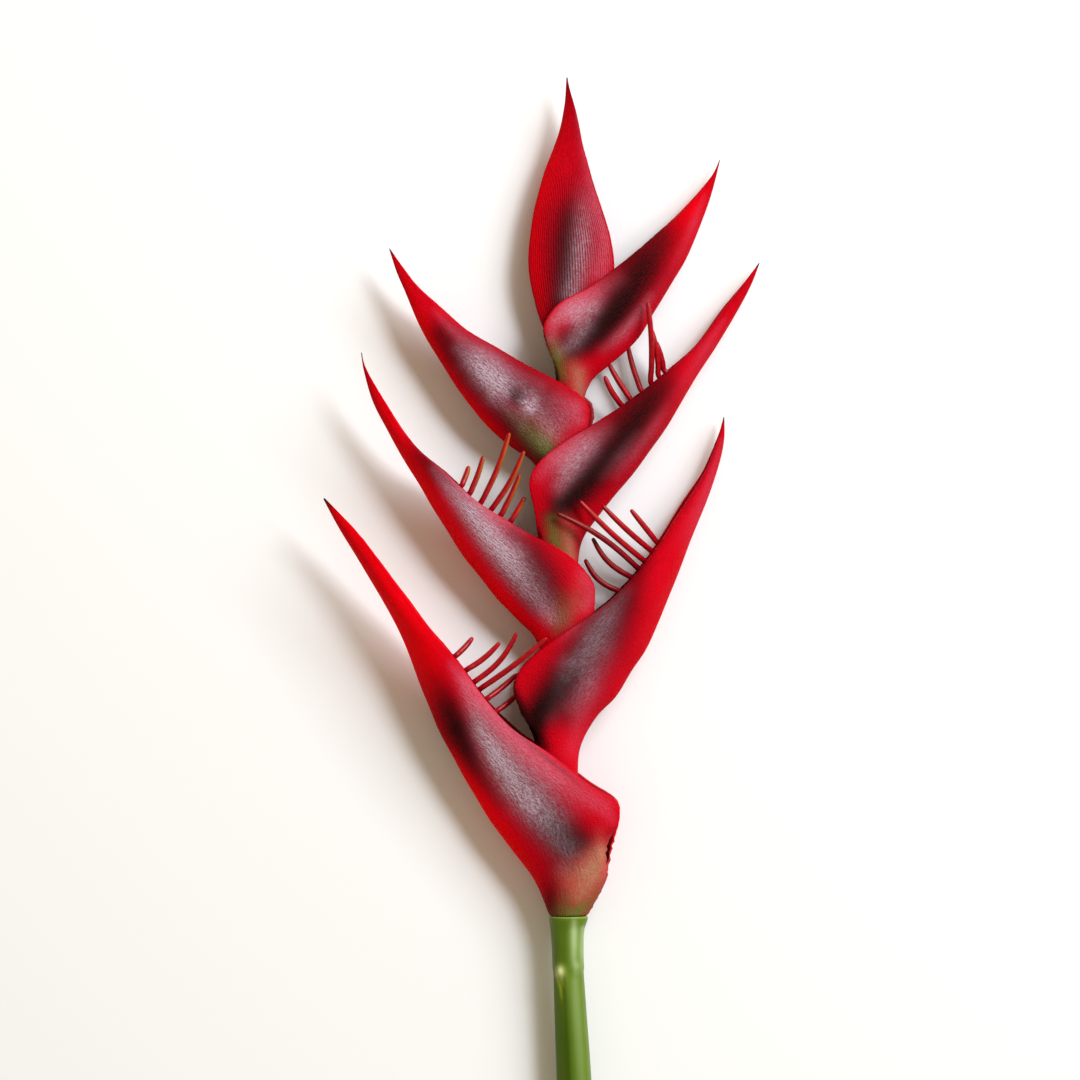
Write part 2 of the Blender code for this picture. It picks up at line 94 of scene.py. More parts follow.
# Course of a bract: how a tip rises, how far a belly's sag spreads, where the near lip draws back
TIP_LIFT_POWER = 2.4
BELLY_SPREAD = 1.6
DRAWN_BACK_FROM = 0.4

# Mesh of a bract: its faces, its wall, and the gaps across which vertices are joined
FACES_ACROSS = 44
FACES_ALONG = 84
THINNEST_WALL = 0.12
WALL_SHARE_AT_TIP = 0.5
AT_LIP = 0.999
WELD_GAP = 0.05
SAME_PLACE = 0.001

# Relief of a bract: where its teeth start, the two patterns that shape them, and how waves fade out
TEETH_FROM = 0.93
TOOTH_SCALE = 0.55
TOOTH_LEVEL = 7.0
SMALL_TOOTH_SCALE = 1.3
SMALL_TOOTH_LEVEL = 3.0
SMALL_TOOTH_SHARE = 0.6
TOOTH_BITE = 0.25
CHEEK_FADE = 4.0
DENT_FADE = 2.0

# Each bract: one row per station from neck to tip, as keel X, Y, lip X, Y and half thickness
BRACTS = {
    "bract_left_3": {
        "rows": [
            (-8.4, -0.5, 9.8, -0.5, 9.1), (-15.8, 16.8, 19.2, 16.8, 11.5),
            (-26.9, 31.7, 22.3, 31.7, 13.2), (-37.4, 45.6, 25.2, 43.7, 14.2),
            (-47.0, 61.0, 24.5, 54.7, 14.8), (-54.2, 74.4, 11.0, 63.8, 15.0),
            (-61.4, 88.3, -5.3, 76.8, 14.6), (-68.2, 104.2, -22.6, 88.3, 13.8),
            (-74.4, 120.5, -37.9, 103.2, 12.6), (-80.6, 136.8, -50.9, 121.0, 11.0),
            (-89.8, 153.6, -64.8, 137.3, 8.8), (-100.8, 172.3, -80.2, 157.9, 6.0),
            (-109.9, 187.2, -98.4, 181.9, 3.2), (-116.4, 199.7, -115.7, 200.2, 0.6)],
        "wall": 1.5, "open_row": 2.2, "ridge": 0.26, "tip_lift": 15.0,
        "belly_row": 6.0, "belly_sag": 4.4,
        "near_lip": [(1.1, 0.0), (1.5, 1.6), (2.0, 3.0), (2.4, 3.2), (2.7, 1.6), (3.0, 0.2),
                     (4.8, 0.0), (5.4, 1.0), (6.6, 1.3), (7.4, 1.0), (8.2, 0.0)],
        "teeth": [(0.0, 1.0), (1.4, 1.6), (2.4, 0.5), (3.0, 0.2), (7.5, 0.15), (9.5, 0.55), (12.0, 0.5),
                  (13.0, 0.1)]},
    "bract_right_3": {
        "rows": [
            (6.2, 49.4, -9.1, 49.4, 7.65), (5.4, 69.6, -13.0, 72.0, 8.5),
            (7.2, 82.1, -17.3, 87.4, 9.8), (14.4, 95.0, -23.5, 98.9, 11.6),
            (23.5, 104.6, -25.8, 109.9, 13.0), (31.2, 116.6, -20.2, 121.0, 13.8),
            (38.9, 128.6, -3.8, 134.4, 14.2), (45.1, 143.0, 12.0, 145.2, 14.2),
            (51.8, 158.9, 26.4, 157.9, 12.6), (58.6, 177.1, 39.4, 173.3, 10.6),
            (65.3, 193.9, 52.8, 194.4, 7.8), (72.0, 212.2, 64.8, 212.6, 5.0),
            (75.6, 227.5, 72.5, 229.9, 2.6), (75.8, 239.0, 75.4, 239.5, 0.6)],
        "wall": 1.4, "open_row": 1.6, "ridge": 0.20, "tip_lift": -5.5,
        "belly_row": 6.0, "belly_sag": 1.0,
        "near_lip": [(7.0, 0.0), (8.5, 1.2), (10.0, 1.4), (11.5, 0.6), (12.5, 0.0)],
        "teeth": [(1.0, 0.1), (2.0, 0.8), (4.2, 0.8), (5.0, 0.15), (10.0, 0.15), (13.0, 0.1)]},
    "bract_left_2": {
        "rows": [
            (-8.9, 108.0, 5.1, 108.0, 7.0), (-11.5, 121.0, 9.1, 123.4, 8.4),
            (-15.8, 133.4, 12.0, 137.8, 9.1), (-23.5, 141.1, 13.9, 151.2, 10.3),
            (-32.2, 150.2, 12.5, 160.8, 12.0), (-40.8, 160.6, 1.9, 172.3, 13.2),
            (-49.0, 170.4, -13.0, 181.0, 13.0), (-58.1, 185.0, -27.4, 188.9, 12.0),
            (-67.2, 199.7, -42.7, 198.5, 10.2), (-76.3, 215.0, -57.6, 212.6, 7.8),
            (-85.0, 230.4, -71.8, 224.2, 5.4), (-93.1, 246.7, -84.5, 242.4, 3.2),
            (-97.1, 260.6, -95.5, 261.1, 1.2), (-98.4, 269.5, -98.0, 269.5, 0.5)],
        "wall": 1.4, "open_row": 1.6, "ridge": 0.26, "tip_lift": 13.5,
        "belly_row": 5.6, "belly_sag": 5.6,
        "near_lip": [(7.5, 0.0), (9.0, 0.8), (10.5, 0.8), (12.0, 0.0)],
        "teeth": [(0.0, 0.2), (4.0, 0.1), (8.0, 0.3), (11.0, 0.25), (13.0, 0.05)]},
    "bract_right_2": {
        "rows": [
            (4.6, 151.2, -8.4, 151.2, 6.5), (5.3, 165.6, -11.0, 167.5, 7.3),
            (7.4, 179.5, -14.4, 182.4, 8.6), (14.4, 190.3, -16.1, 195.8, 10.4),
            (21.6, 199.4, -18.4, 207.8, 12.0), (28.8, 208.1, -14.4, 217.0, 12.9),
            (36.0, 217.0, -2.4, 226.8, 13.4), (44.2, 228.2, 14.4, 236.9, 12.9),
            (52.3, 241.0, 31.2, 248.4, 10.6), (61.4, 256.8, 47.5, 261.4, 8.2),
            (71.5, 272.6, 62.4, 275.0, 5.8), (81.1, 288.5, 74.9, 291.6, 3.6),
            (88.8, 302.9, 85.4, 304.3, 1.8), (92.8, 313.4, 92.4, 313.5, 0.5)],
        "wall": 1.4, "open_row": 1.6, "ridge": 0.20, "tip_lift": -5.0,
        "belly_row": 6.0, "belly_sag": 0.0,
        "near_lip": [(7.5, 0.0), (9.0, 0.6), (11.0, 0.5), (12.5, 0.0)],
        "teeth": [(0.0, 0.2), (3.0, 0.1), (12.0, 0.1)]},
    "bract_left_1": {
        "rows": [
            (-9.1, 199.2, 2.4, 199.2, 5.75), (-12.0, 208.8, 6.0, 212.6, 7.0),
            (-17.3, 218.2, 9.8, 226.6, 7.8), (-26.4, 223.9, 13.0, 239.0, 9.0),
            (-35.5, 231.4, 11.0, 246.7, 10.4), (-43.7, 240.2, -1.9, 254.9, 11.4),
            (-51.6, 250.8, -16.8, 263.0, 10.8), (-58.6, 261.6, -32.2, 271.7, 9.4),
            (-65.8, 273.4, -47.5, 280.6, 7.4), (-72.2, 285.8, -60.0, 291.6, 5.2),
            (-77.8, 299.5, -71.5, 301.7, 3.2), (-82.1, 309.6, -78.2, 310.3, 1.8),
            (-85.3, 319.7, -84.9, 319.7, 0.5)],
        "wall": 1.3, "open_row": 1.6, "ridge": 0.24, "tip_lift": 2.0,
        "belly_row": 5.0, "belly_sag": 0.0,
        "near_lip": [(1.8, 0.0), (2.4, 2.0), (3.2, 2.4), (3.9, 1.8), (4.6, 0.4), (5.0, 0.0)],
        "teeth": [(0.0, 0.2), (3.0, 0.4), (4.5, 0.5), (6.0, 0.15), (12.0, 0.1)]},
    "bract_right_1": {
        "rows": [
            (6.4, 235.2, -3.6, 235.2, 5.0), (7.7, 246.2, -4.8, 249.6, 6.0),
            (12.0, 256.6, -6.7, 264.5, 7.6), (20.2, 263.5, -10.6, 275.0, 9.2),
            (28.3, 270.2, -11.0, 283.7, 10.4), (35.5, 278.4, -3.8, 293.5, 11.0),
            (42.2, 289.4, 10.1, 301.2, 11.1), (49.4, 301.2, 23.5, 310.8, 10.4),
            (56.2, 313.2, 36.5, 321.8, 8.6), (62.4, 326.9, 49.9, 333.8, 5.8),
            (67.7, 340.1, 61.4, 345.6, 3.6), (71.5, 353.3, 69.8, 355.7, 1.6),
            (73.7, 362.9, 73.4, 363.1, 0.5)],
        "wall": 1.2, "open_row": 1.4, "ridge": 0.20, "tip_lift": -5.5,
        "belly_row": 5.0, "belly_sag": 0.0,
        "near_lip": [(7.0, 0.0), (8.5, 0.5), (10.5, 0.4), (12.0, 0.0)],
        "teeth": [(0.0, 0.4), (1.0, 0.7), (3.0, 0.6), (3.8, 0.1), (12.0, 0.1)]},
    "bract_top": {
        "rows": [
            (-3.9, 264.0, 4.9, 264.0, 4.4), (-7.4, 273.5, 11.6, 274.5, 4.9),
            (-13.9, 287.8, 19.0, 291.5, 5.2), (-18.1, 305.3, 22.6, 307.5, 5.8),
            (-18.4, 321.6, 21.4, 323.0, 6.3), (-16.2, 337.9, 17.1, 337.9, 6.0),
            (-12.2, 353.3, 12.3, 353.3, 5.0), (-7.7, 366.2, 8.6, 366.5, 4.0),
            (-3.4, 377.8, 6.2, 377.5, 3.0), (-1.2, 388.3, 3.6, 388.3, 1.9),
            (-0.6, 397.4, 1.2, 397.4, 1.0), (-0.3, 402.0, 0.3, 402.0, 0.5)],
        "wall": 1.2, "open_row": 2.0, "ridge": 0.20, "tip_lift": 0.0,
        "belly_row": 4.0, "belly_sag": 0.0,
        "near_lip": [(0.0, 0.0), (11.0, 0.0)],
        "teeth": [(0.0, 0.5), (2.0, 0.3), (4.0, 0.1), (11.0, 0.05)]},
}

# Colour on each bract, grown patches with painted light along the keels and painted pink and grey
# highlights: strokes as photograph X, Y and radius in pixels, and strength
PAINT = {
    "bract_left_3": {
        "glow": [
            [(335, 515, 14, 0.6), (385, 595, 20, 0.9), (418, 650, 18, 1.0), (434, 692, 12, 0.4)],
            [(452, 752, 6, 0.6), (474, 794, 10, 1.0), (510, 845, 12, 1.0), (540, 888, 10, 0.3)]],
        "dark": [
            [(438, 682, 10, 0.15), (449, 708, 12, 0.65), (457, 728, 12, 0.85), (468, 750, 10, 0.75),
             (481, 774, 8, 0.4), (500, 800, 7, 0.2)],
            [(476, 722, 12, 0.4), (498, 756, 14, 0.6), (524, 790, 18, 0.75), (550, 822, 20, 0.95),
             (568, 844, 19, 1.0), (570, 860, 13, 0.6)],
            [(572, 830, 8, 0.2), (584, 842, 8, 0.4)],
            [(556, 872, 12, 0.25), (552, 894, 9, 0.5), (553, 912, 9, 0.6)],
            [(566, 894, 6, 0.25), (567, 912, 7, 0.3)],
            # Painted shade: thin dark lines where the near lip's edge lies over the far lip
            [(496, 713, 1.8, 0.15), (520, 736, 1.8, 0.35), (546, 757, 1.8, 0.45), (568, 774, 1.8, 0.4),
             (584, 788, 1.6, 0.1)],
            [(514, 722, 1.6, 0.2), (540, 743, 1.6, 0.4), (566, 762, 1.6, 0.4), (584, 776, 1.6, 0.1)]],
        "bloom": [
            [(462, 680, 7, 0.15), (472, 706, 9, 0.4), (482, 731, 10, 0.75), (496, 756, 12, 0.95),
             (515, 783, 15, 0.85), (532, 804, 16, 0.75), (550, 827, 16, 0.45), (566, 847, 14, 0.35),
             (562, 864, 10, 0.15)],
            [(486, 720, 10, 0.15), (510, 750, 14, 0.25), (540, 786, 18, 0.3), (560, 812, 14, 0.2)]],
        "blush": [
            [(452, 664, 5, 0.3), (470, 686, 8, 0.5), (492, 710, 10, 0.55), (520, 742, 12, 0.55),
             (550, 770, 13, 0.5), (580, 792, 12, 0.45), (604, 806, 9, 0.4), (614, 822, 6, 0.2)]],
        "cream": [
            [(600, 832, 7, 0.3), (600, 852, 12, 0.9), (590, 874, 17, 1.0), (580, 894, 14, 0.8)],
            [(568, 876, 12, 0.4)]],
        "olive": [
            [(600, 888, 5, 0.3), (592, 900, 7, 0.5), (580, 910, 8, 0.9), (570, 914, 8, 0.9)],
            [(564, 894, 7, 0.3), (560, 912, 10, 0.6), (548, 914, 6, 0.4)]],
    },
    "bract_right_3": {
        "dark": [
            [(648, 562, 7, 0.15), (633, 583, 11, 0.45), (617, 604, 15, 0.75), (600, 630, 18, 0.85),
             (583, 654, 18, 0.85), (567, 678, 18, 0.95), (551, 699, 17, 1.0), (538, 714, 14, 1.0),
             (534, 728, 11, 0.95), (540, 744, 7, 0.7)],
            [(512, 684, 3, 0.5), (522, 708, 4, 0.8), (533, 734, 5, 0.9)],
            [(630, 606, 15, 0.2), (606, 644, 20, 0.35), (584, 682, 20, 0.35), (570, 712, 14, 0.3)]],
        "bloom": [
            [(626, 590, 7, 0.15), (608, 616, 12, 0.4), (593, 640, 15, 0.45), (580, 660, 11, 0.35),
             (570, 674, 7, 0.1)],
            [(618, 634, 9, 0.05), (600, 660, 13, 0.2), (588, 682, 13, 0.4), (574, 704, 11, 0.25)],
            [(566, 664, 9, 0.25), (556, 698, 9, 0.1), (552, 716, 8, 0.1)]],
        "blush": [
            [(560, 642, 5, 0.1), (574, 620, 6, 0.4), (592, 600, 6, 0.3), (612, 584, 5, 0.1)],
            [(722, 440, 3, 0.2), (712, 476, 5, 0.3), (700, 508, 7, 0.3), (686, 536, 8, 0.15),
             (676, 556, 8, 0.0)],
            [(590, 700, 9, 0.2), (578, 724, 9, 0.25), (572, 750, 9, 0.2)]],
    },
    "bract_left_2": {
        "glow": [
            [(366, 372, 6, 0.3), (376, 400, 7, 0.6), (396, 440, 9, 0.8), (430, 492, 9, 0.9),
             (470, 552, 10, 1.0), (510, 604, 11, 1.0), (540, 636, 9, 0.7)]],
        "dark": [
            [(408, 436, 5, 0.1), (422, 456, 8, 0.45), (438, 474, 9, 0.6), (454, 492, 9, 0.5),
             (474, 514, 9, 0.3)],
            [(500, 522, 10, 0.2), (514, 538, 15, 0.5), (528, 558, 18, 0.65), (541, 580, 18, 0.7),
             (551, 600, 15, 0.6), (560, 618, 11, 0.35)],
            [(470, 512, 12, 0.3), (496, 548, 14, 0.35), (518, 576, 14, 0.5), (534, 600, 12, 0.5)]],
        "bloom": [
            [(434, 470, 5, 0.25), (452, 492, 9, 0.55), (470, 512, 12, 0.8), (490, 536, 14, 0.95),
             (508, 560, 14, 0.95), (522, 582, 12, 0.65), (536, 600, 11, 0.5), (550, 618, 9, 0.45)],
            [(516, 552, 12, 0.2), (534, 578, 13, 0.25), (548, 602, 11, 0.25)]],
        "blush": [
            [(424, 450, 3, 0.2), (446, 470, 5, 0.4), (474, 496, 7, 0.45), (500, 518, 7, 0.35),
             (524, 532, 5, 0.2)],
            [(584, 572, 8, 0.25), (592, 592, 7, 0.4), (586, 608, 6, 0.3)]],
        "cream": [
            [(580, 582, 8, 0.2), (576, 602, 10, 0.45), (566, 620, 9, 0.4)]],
        "olive": [
            [(562, 596, 8, 0.2), (560, 616, 9, 0.4), (556, 632, 6, 0.3)]],
    },
    "bract_right_2": {
        "dark": [
            [(676, 366, 8, 0.15), (663, 386, 13, 0.5), (649, 404, 16, 0.75), (633, 426, 17, 0.88),
             (615, 448, 17, 0.92), (597, 468, 16, 0.96), (580, 488, 15, 1.0), (564, 504, 13, 1.0),
             (554, 516, 9, 0.75)],
            [(650, 392, 16, 0.3), (602, 440, 22, 0.4), (572, 474, 20, 0.4)]],
        "bloom": [
            [(604, 432, 9, 0.1), (588, 448, 11, 0.45), (572, 466, 11, 0.6), (560, 486, 9, 0.4),
             (558, 502, 7, 0.1)],
            [(636, 434, 5, 0.1), (619, 456, 6, 0.2), (603, 476, 6, 0.1)]],
        "blush": [
            [(540, 476, 7, 0.3), (556, 458, 12, 0.6), (580, 442, 13, 0.5), (604, 430, 10, 0.2)],
            [(724, 320, 3, 0.2), (706, 348, 6, 0.3), (690, 374, 6, 0.2), (672, 400, 6, 0.1),
             (652, 430, 6, 0.35), (634, 454, 6, 0.35), (616, 476, 6, 0.2)]],
        "cream": [
            [(564, 520, 8, 0.3), (568, 536, 9, 0.8), (570, 556, 8, 0.8)]],
        "olive": [
            [(550, 520, 7, 0.6), (554, 536, 8, 0.9), (558, 552, 7, 0.7)]],
    },
    "bract_left_1": {
        "glow": [
            [(392, 256, 4, 0.2), (402, 282, 6, 0.5), (420, 322, 7, 0.8), (444, 366, 6, 0.8),
             (474, 412, 6, 0.9), (504, 444, 6, 0.7)]],
        "dark": [
            [(432, 318, 5, 0.1), (442, 334, 10, 0.5), (456, 354, 12, 0.6), (472, 376, 12, 0.6),
             (490, 398, 10, 0.5), (510, 420, 11, 0.6), (530, 440, 12, 0.8), (542, 454, 9, 0.8)],
            [(468, 350, 10, 0.3), (490, 370, 15, 0.5), (512, 390, 18, 0.6), (536, 408, 18, 0.55),
             (554, 424, 12, 0.35)],
            # Painted shade in the dimple pressed into the cheek
            [(511, 393, 5, 0.8), (519, 399, 5, 0.9)],
            [(456, 336, 12, 0.2), (490, 364, 18, 0.35), (530, 388, 20, 0.45), (560, 408, 18, 0.3)]],
        "bloom": [
            [(460, 350, 8, 0.35), (474, 362, 12, 0.7), (486, 373, 14, 0.95), (496, 384, 13, 1.0),
             (505, 391, 8, 0.7)],
            [(524, 402, 6, 0.6), (530, 408, 9, 0.85), (538, 417, 8, 0.4), (550, 430, 9, 0.4),
             (558, 440, 8, 0.2)],
            [(506, 379, 7, 0.3), (519, 385, 6, 0.3), (532, 396, 7, 0.3)],
            [(496, 400, 8, 0.4), (510, 412, 8, 0.3), (522, 424, 7, 0.2)],
            [(484, 356, 12, 0.15), (508, 376, 12, 0.1), (536, 396, 14, 0.2), (562, 420, 14, 0.35)],
            [(524, 432, 8, 0.1), (544, 444, 8, 0.15)]],
        "blush": [
            [(436, 312, 4, 0.2), (452, 330, 6, 0.4), (472, 346, 7, 0.4), (494, 360, 6, 0.35),
             (520, 374, 5, 0.2), (544, 386, 4, 0.15)],
            [(560, 398, 8, 0.2), (576, 408, 9, 0.45), (580, 420, 7, 0.35)]],
        "olive": [
            [(512, 418, 8, 0.25), (528, 430, 11, 0.65), (542, 444, 12, 0.95), (550, 454, 9, 0.95)]],
    },
    "bract_right_1": {
        "glow": [
            [(706, 180, 5, 0.5), (690, 210, 8, 0.7), (674, 240, 9, 0.5), (656, 276, 7, 0.2)]],
        "dark": [
            [(698, 202, 6, 0.0), (684, 220, 11, 0.15), (664, 243, 16, 0.5), (646, 267, 18, 0.78),
             (630, 291, 18, 0.9), (614, 313, 16, 1.0), (598, 331, 14, 1.0), (584, 343, 12, 0.9),
             (570, 352, 10, 0.75)],
            [(654, 236, 14, 0.3), (632, 262, 18, 0.4), (616, 284, 16, 0.3)],
            [(612, 306, 16, 0.4), (590, 326, 16, 0.5), (568, 342, 13, 0.6)],
            # Painted shade along the open left margin, where the far lip lies in shadow
            [(544, 338, 3, 0.5), (549, 356, 3, 0.7), (556, 377, 4, 0.8)]],
        "bloom": [
            [(558, 318, 9, 0.25), (576, 314, 12, 0.55), (592, 308, 9, 0.5), (600, 302, 6, 0.2)],
            [(586, 326, 9, 0.35), (574, 342, 9, 0.45), (562, 350, 7, 0.3)],
            [(650, 296, 4, 0.15), (638, 314, 5, 0.25), (622, 334, 6, 0.3), (604, 350, 6, 0.15)]],
        "blush": [
            [(551, 338, 7, 0.45), (554, 322, 7, 0.45), (572, 306, 12, 0.6), (596, 292, 12, 0.5),
             (616, 280, 9, 0.25)],
            [(704, 196, 3, 0.2), (694, 222, 5, 0.3), (684, 246, 5, 0.2), (668, 276, 5, 0.1),
             (640, 316, 6, 0.2), (614, 344, 6, 0.1)]],
        "cream": [
            [(568, 356, 7, 0.2), (578, 374, 9, 0.8), (580, 392, 9, 0.8)]],
        "olive": [
            [(552, 342, 6, 0.5), (556, 358, 8, 0.9), (562, 376, 7, 0.7)]],
    },
    "bract_top": {
        "glow": [
            [(567, 80, 4, 0.2), (562, 120, 7, 0.4), (545, 175, 8, 0.5), (534, 225, 7, 0.5),
             (536, 275, 7, 0.5), (545, 310, 6, 0.3)]],
        "dark": [
            [(580, 170, 12, 0.1), (577, 196, 17, 0.3), (573, 222, 22, 0.55), (571, 250, 24, 0.62),
             (566, 278, 20, 0.6), (561, 302, 16, 0.6), (554, 320, 10, 0.5)],
            [(570, 206, 8, 0.2), (567, 240, 9, 0.6), (566, 280, 10, 0.65), (562, 302, 8, 0.5)]],
        "bloom": [
            [(582, 186, 9, 0.1), (584, 212, 11, 0.35), (582, 240, 12, 0.5), (578, 268, 12, 0.5),
             (571, 294, 11, 0.5)]],
        "blush": [
            [(574, 90, 2, 0.1), (580, 120, 5, 0.35), (590, 164, 8, 0.4), (600, 204, 9, 0.45),
             (607, 240, 9, 0.5), (602, 272, 11, 0.45)]],
    },
}

# Order in which the colours and painted light lie, how fast a stroke fades, its least length, and the lip
# rim kept clear of the painted highlights
PAINT_LAYERS = ("glow", "dark", "cream", "olive", "blush", "bloom")
STROKE_FALL = 0.75
SHORTEST = 1e-9
BRIGHT_RIM = 0.05
EYE_GAMMA = 2.2

# How strongly the fibres break up each layer of colour, and where a bract's dry tip begins
BREAK_UP = {"glow": 0.5, "dark": 1.4, "cream": 2.0, "olive": 2.5, "blush": 2.5, "bloom": 3.8}
TIP_FROM = 0.965

# Share of each pattern in the fibres of a bract, and how rough the pattern is
FIBRE_SHARE = {"fibre": (0.3, 0.62), "wrinkle": (0.35, 0.7), "grain": (0.35, 0.7)}
RIB_SHARE = 0.1
BRACT_ROUGHNESS = 0.42
PATTERN_MEAN = 0.5

# Hollows pressed into a cheek: place in photograph pixels, radius and depth in millimetres
DENTS = {
    "bract_left_1": [((516, 396), 5.0, 1.5), ((508, 384), 9.0, -0.7), ((526, 410), 8.0, -0.7)],
    "bract_left_3": [((500, 760), 16.0, -0.5), ((560, 850), 14.0, 0.8)],
    "bract_left_2": [((520, 566), 14.0, 0.8), ((566, 592), 9.0, -0.6)],
    "bract_right_3": [((548, 690), 12.0, 0.7)],
}

# Green stem with its flared collar, and the zigzag axis inside the head: X, Y and radius
COLLAR_Y = -0.5
STEM_RINGS = [
    (9.1, STEM_END, 9.2), (8.2, -180.0, 9.2), (5.8, -130.0, 9.0), (3.4, -79.2, 8.8),
    (1.6, -45.0, 8.1), (0.6, -24.0, 7.6), (0.3, -14.0, 7.7), (0.2, -7.5, 8.1), (0.7, -2.2, 9.2),
    (0.7, COLLAR_Y, 9.1), (0.7, COLLAR_Y + 0.1, 7.1)]
AXIS_RINGS = [
    (0.7, 8.0, 6.9), (-0.4, 28.0, 6.2), (-1.45, 49.4, 5.65), (-2.3, 74.0, 5.4), (-2.2, 92.0, 5.2),
    (-1.9, 108.0, 5.0), (-1.9, 130.0, 4.8), (-1.9, 151.2, 4.5), (-2.4, 175.0, 4.2),
    (-3.35, 199.2, 3.85), (-1.4, 217.0, 3.6), (1.4, 235.2, 3.25), (1.2, 250.0, 3.0),
    (0.5, 264.0, 2.7), (0.8, 271.0, 2.3)]
STEM_SIDES = 96

# Colour along the stem, in strokes as on the bracts, with a name for each layer: grown yellow-green grooves,
# a painted highlight down its lit right side, and painted shade down its left half
STEM_PAINT = {
    "shaded": [[(552, 918, 3, 0.2), (553, 950, 4, 0.25), (555, 990, 5, 0.4), (557, 1080, 6, 0.5),
                (562, 1160, 6, 0.4)],
               [(564, 922, 4, 0.35), (565, 960, 4, 0.4)],
               [(564, 984, 3, 0.3), (566, 1000, 5, 0.6), (567, 1040, 6, 0.85), (569, 1080, 6, 0.85),
                (574, 1160, 6, 0.6)]],
    "sheen": [[(574, 921, 2.5, 0.5), (574, 930, 3.2, 0.95), (574, 944, 3.2, 0.8), (574, 958, 3, 0.5),
               (576, 965, 3, 0.6), (576, 972, 3, 0.3)],
              [(583, 928, 2.5, 0.6), (582, 950, 2.5, 0.6), (583, 970, 2.5, 0.2)],
              [(575, 980, 3.5, 0.3), (576, 1000, 4, 0.3), (582, 1080, 4, 0.15), (590, 1160, 5, 0.1)]],
    "groove": [[(557, 976, 1.4, 0.7), (560, 986, 1.4, 0.8), (562, 998, 1.2, 0.3)],
               [(559, 969, 1.2, 0.5), (562, 978, 1.2, 0.6), (564, 986, 1.2, 0.3)]],
}

# Where the stem starts to drop to the table, by how much, and how finely it is ringed
STEM_LEVEL_FROM = -14.0
STEM_DROP_AT_END = 6.6
STEM_STEPS = 150
AXIS_STEPS = 60
STEM_CREASE = math.radians(40)

# Below its node the stem has six soft flats, and a scar with a groove under it
FLAT_TURN = math.pi / 3
FLATS_TURNED = 0.35
FLATS_FADE = 3.0
NODE_Y = -24.5
NODE_SWELL = 0.012
NODE_SWELL_Y = NODE_Y - 1.5
NODE_SWELL_LENGTH = 1.2
SCAR = (-3.4, -27.0)
SCAR_SWELL = 0.20
SCAR_WIDTH = 1.9
SCAR_LENGTH = 2.6
SCAR_TINT_WIDTH = 1.8
GROOVE_X = 0.9
GROOVE_WIDTH = 0.8
GROOVE_DEPTH = 0.035
GROOVE_START = 3.0
GROOVE_END = 17.0
GROOVE_FADE = 8.0

# Colour along the stem: stretch and share of its fibres, pale rim, and start of the axis
STEM_FIBRE_STRETCH = 0.05
PALE_FIBRES = 0.25
RIM_FROM = COLLAR_Y - 0.9
RIM_FADE = 0.4
RIM_SHARE = 0.6
AXIS_FROM = 1.0
AXIS_FADE = 5.0

# Six florets in each of four bracts: base X, Y, tip X, Y, lift of base and tip, sideways bow
FLORETS = {
    "florets_left_3": {
        "rows": [
            (-33.3, 98.4, -23.4, 106.6, 0.0, 0.5, 0.4), (-38.1, 104.2, -24.0, 115.8, 2.0, 2.0, 0.4),
            (-41.3, 109.0, -9.6, 133.4, 4.0, 16.5, 0.8), (-44.2, 112.3, -24.0, 135.8, 3.5, 9.0, 2.6),
            (-47.8, 118.1, -32.2, 131.0, 3.0, 7.0, 1.0), (-53.3, 124.6, -45.1, 133.4, 2.5, 5.0, 0.4)],
        "stalk": [(-7.9, 40.0), (-14.0, 41.5), (-25.0, 66.0), (-33.0, 84.0)],
        "keelward": (-3.6, -2.7), "lift": (4.0, 6.5), "olive_side": (-0.05, 0.08)},
    "florets_right_3": {
        "rows": [
            (24.7, 155.5, 8.6, 170.8, 1.0, 3.0, -2.6), (30.7, 162.2, 12.2, 181.0, 1.5, 6.0, -2.6),
            (34.0, 166.6, -4.8, 192.7, 3.0, 15.0, 2.4), (36.7, 170.4, 6.0, 198.7, 3.0, 14.5, -1.0),
            (39.8, 175.4, 16.8, 196.6, 3.0, 11.0, -0.6), (43.2, 179.0, 30.5, 194.6, 2.0, 5.0, 0.0)],
        "stalk": [(4.0, 97.0), (9.5, 98.5), (17.0, 110.0), (23.5, 129.0)],
        "keelward": (3.6, -2.7), "lift": (-1.7, -2.3), "olive_side": (0.05, 0.16),
        "maroon": (0, 1, 2)},
    "florets_left_2": {
        "rows": [
            (-26.7, 189.4, -20.3, 200.6, 1.5, 4.0, 0.2), (-31.7, 192.0, -22.6, 211.4, 2.0, 6.0, 0.4),
            (-36.5, 194.4, -20.6, 222.7, 2.5, 9.5, 1.4), (-41.3, 197.8, -27.6, 231.4, 3.0, 10.5, 1.2),
            (-46.6, 202.3, -40.1, 220.3, 3.0, 7.0, 0.6), (-50.4, 206.2, -47.0, 215.5, 2.0, 5.0, 0.2)],
        "stalk": [(-7.6, 139.5), (-12.5, 141.0), (-17.5, 150.0), (-26.0, 168.0)],
        "keelward": (-3.4, -2.9), "lift": (3.1, 4.8), "olive_side": (0.9, 0.1)},
    "florets_right_2": {
        "rows": [
            (26.2, 244.8, 18.0, 258.7, 1.0, 3.0, -0.8), (30.5, 247.9, 20.0, 265.0, -2.0, -6.5, -0.4),
            (35.7, 252.0, 29.2, 274.0, -1.5, -7.0, -0.6), (40.3, 255.4, 38.6, 293.8, 1.5, 10.5, 1.0),
            (44.0, 258.9, 40.6, 281.0, 1.0, 4.0, 0.8), (46.6, 261.6, 42.6, 275.5, 0.0, 2.0, 0.4)],
        "stalk": [(2.0, 188.0), (6.5, 189.5), (16.0, 206.0), (24.0, 228.0)],
        "keelward": (3.4, -2.6), "lift": (-1.4, -1.4), "olive_side": (-0.1, 0.05)},
}

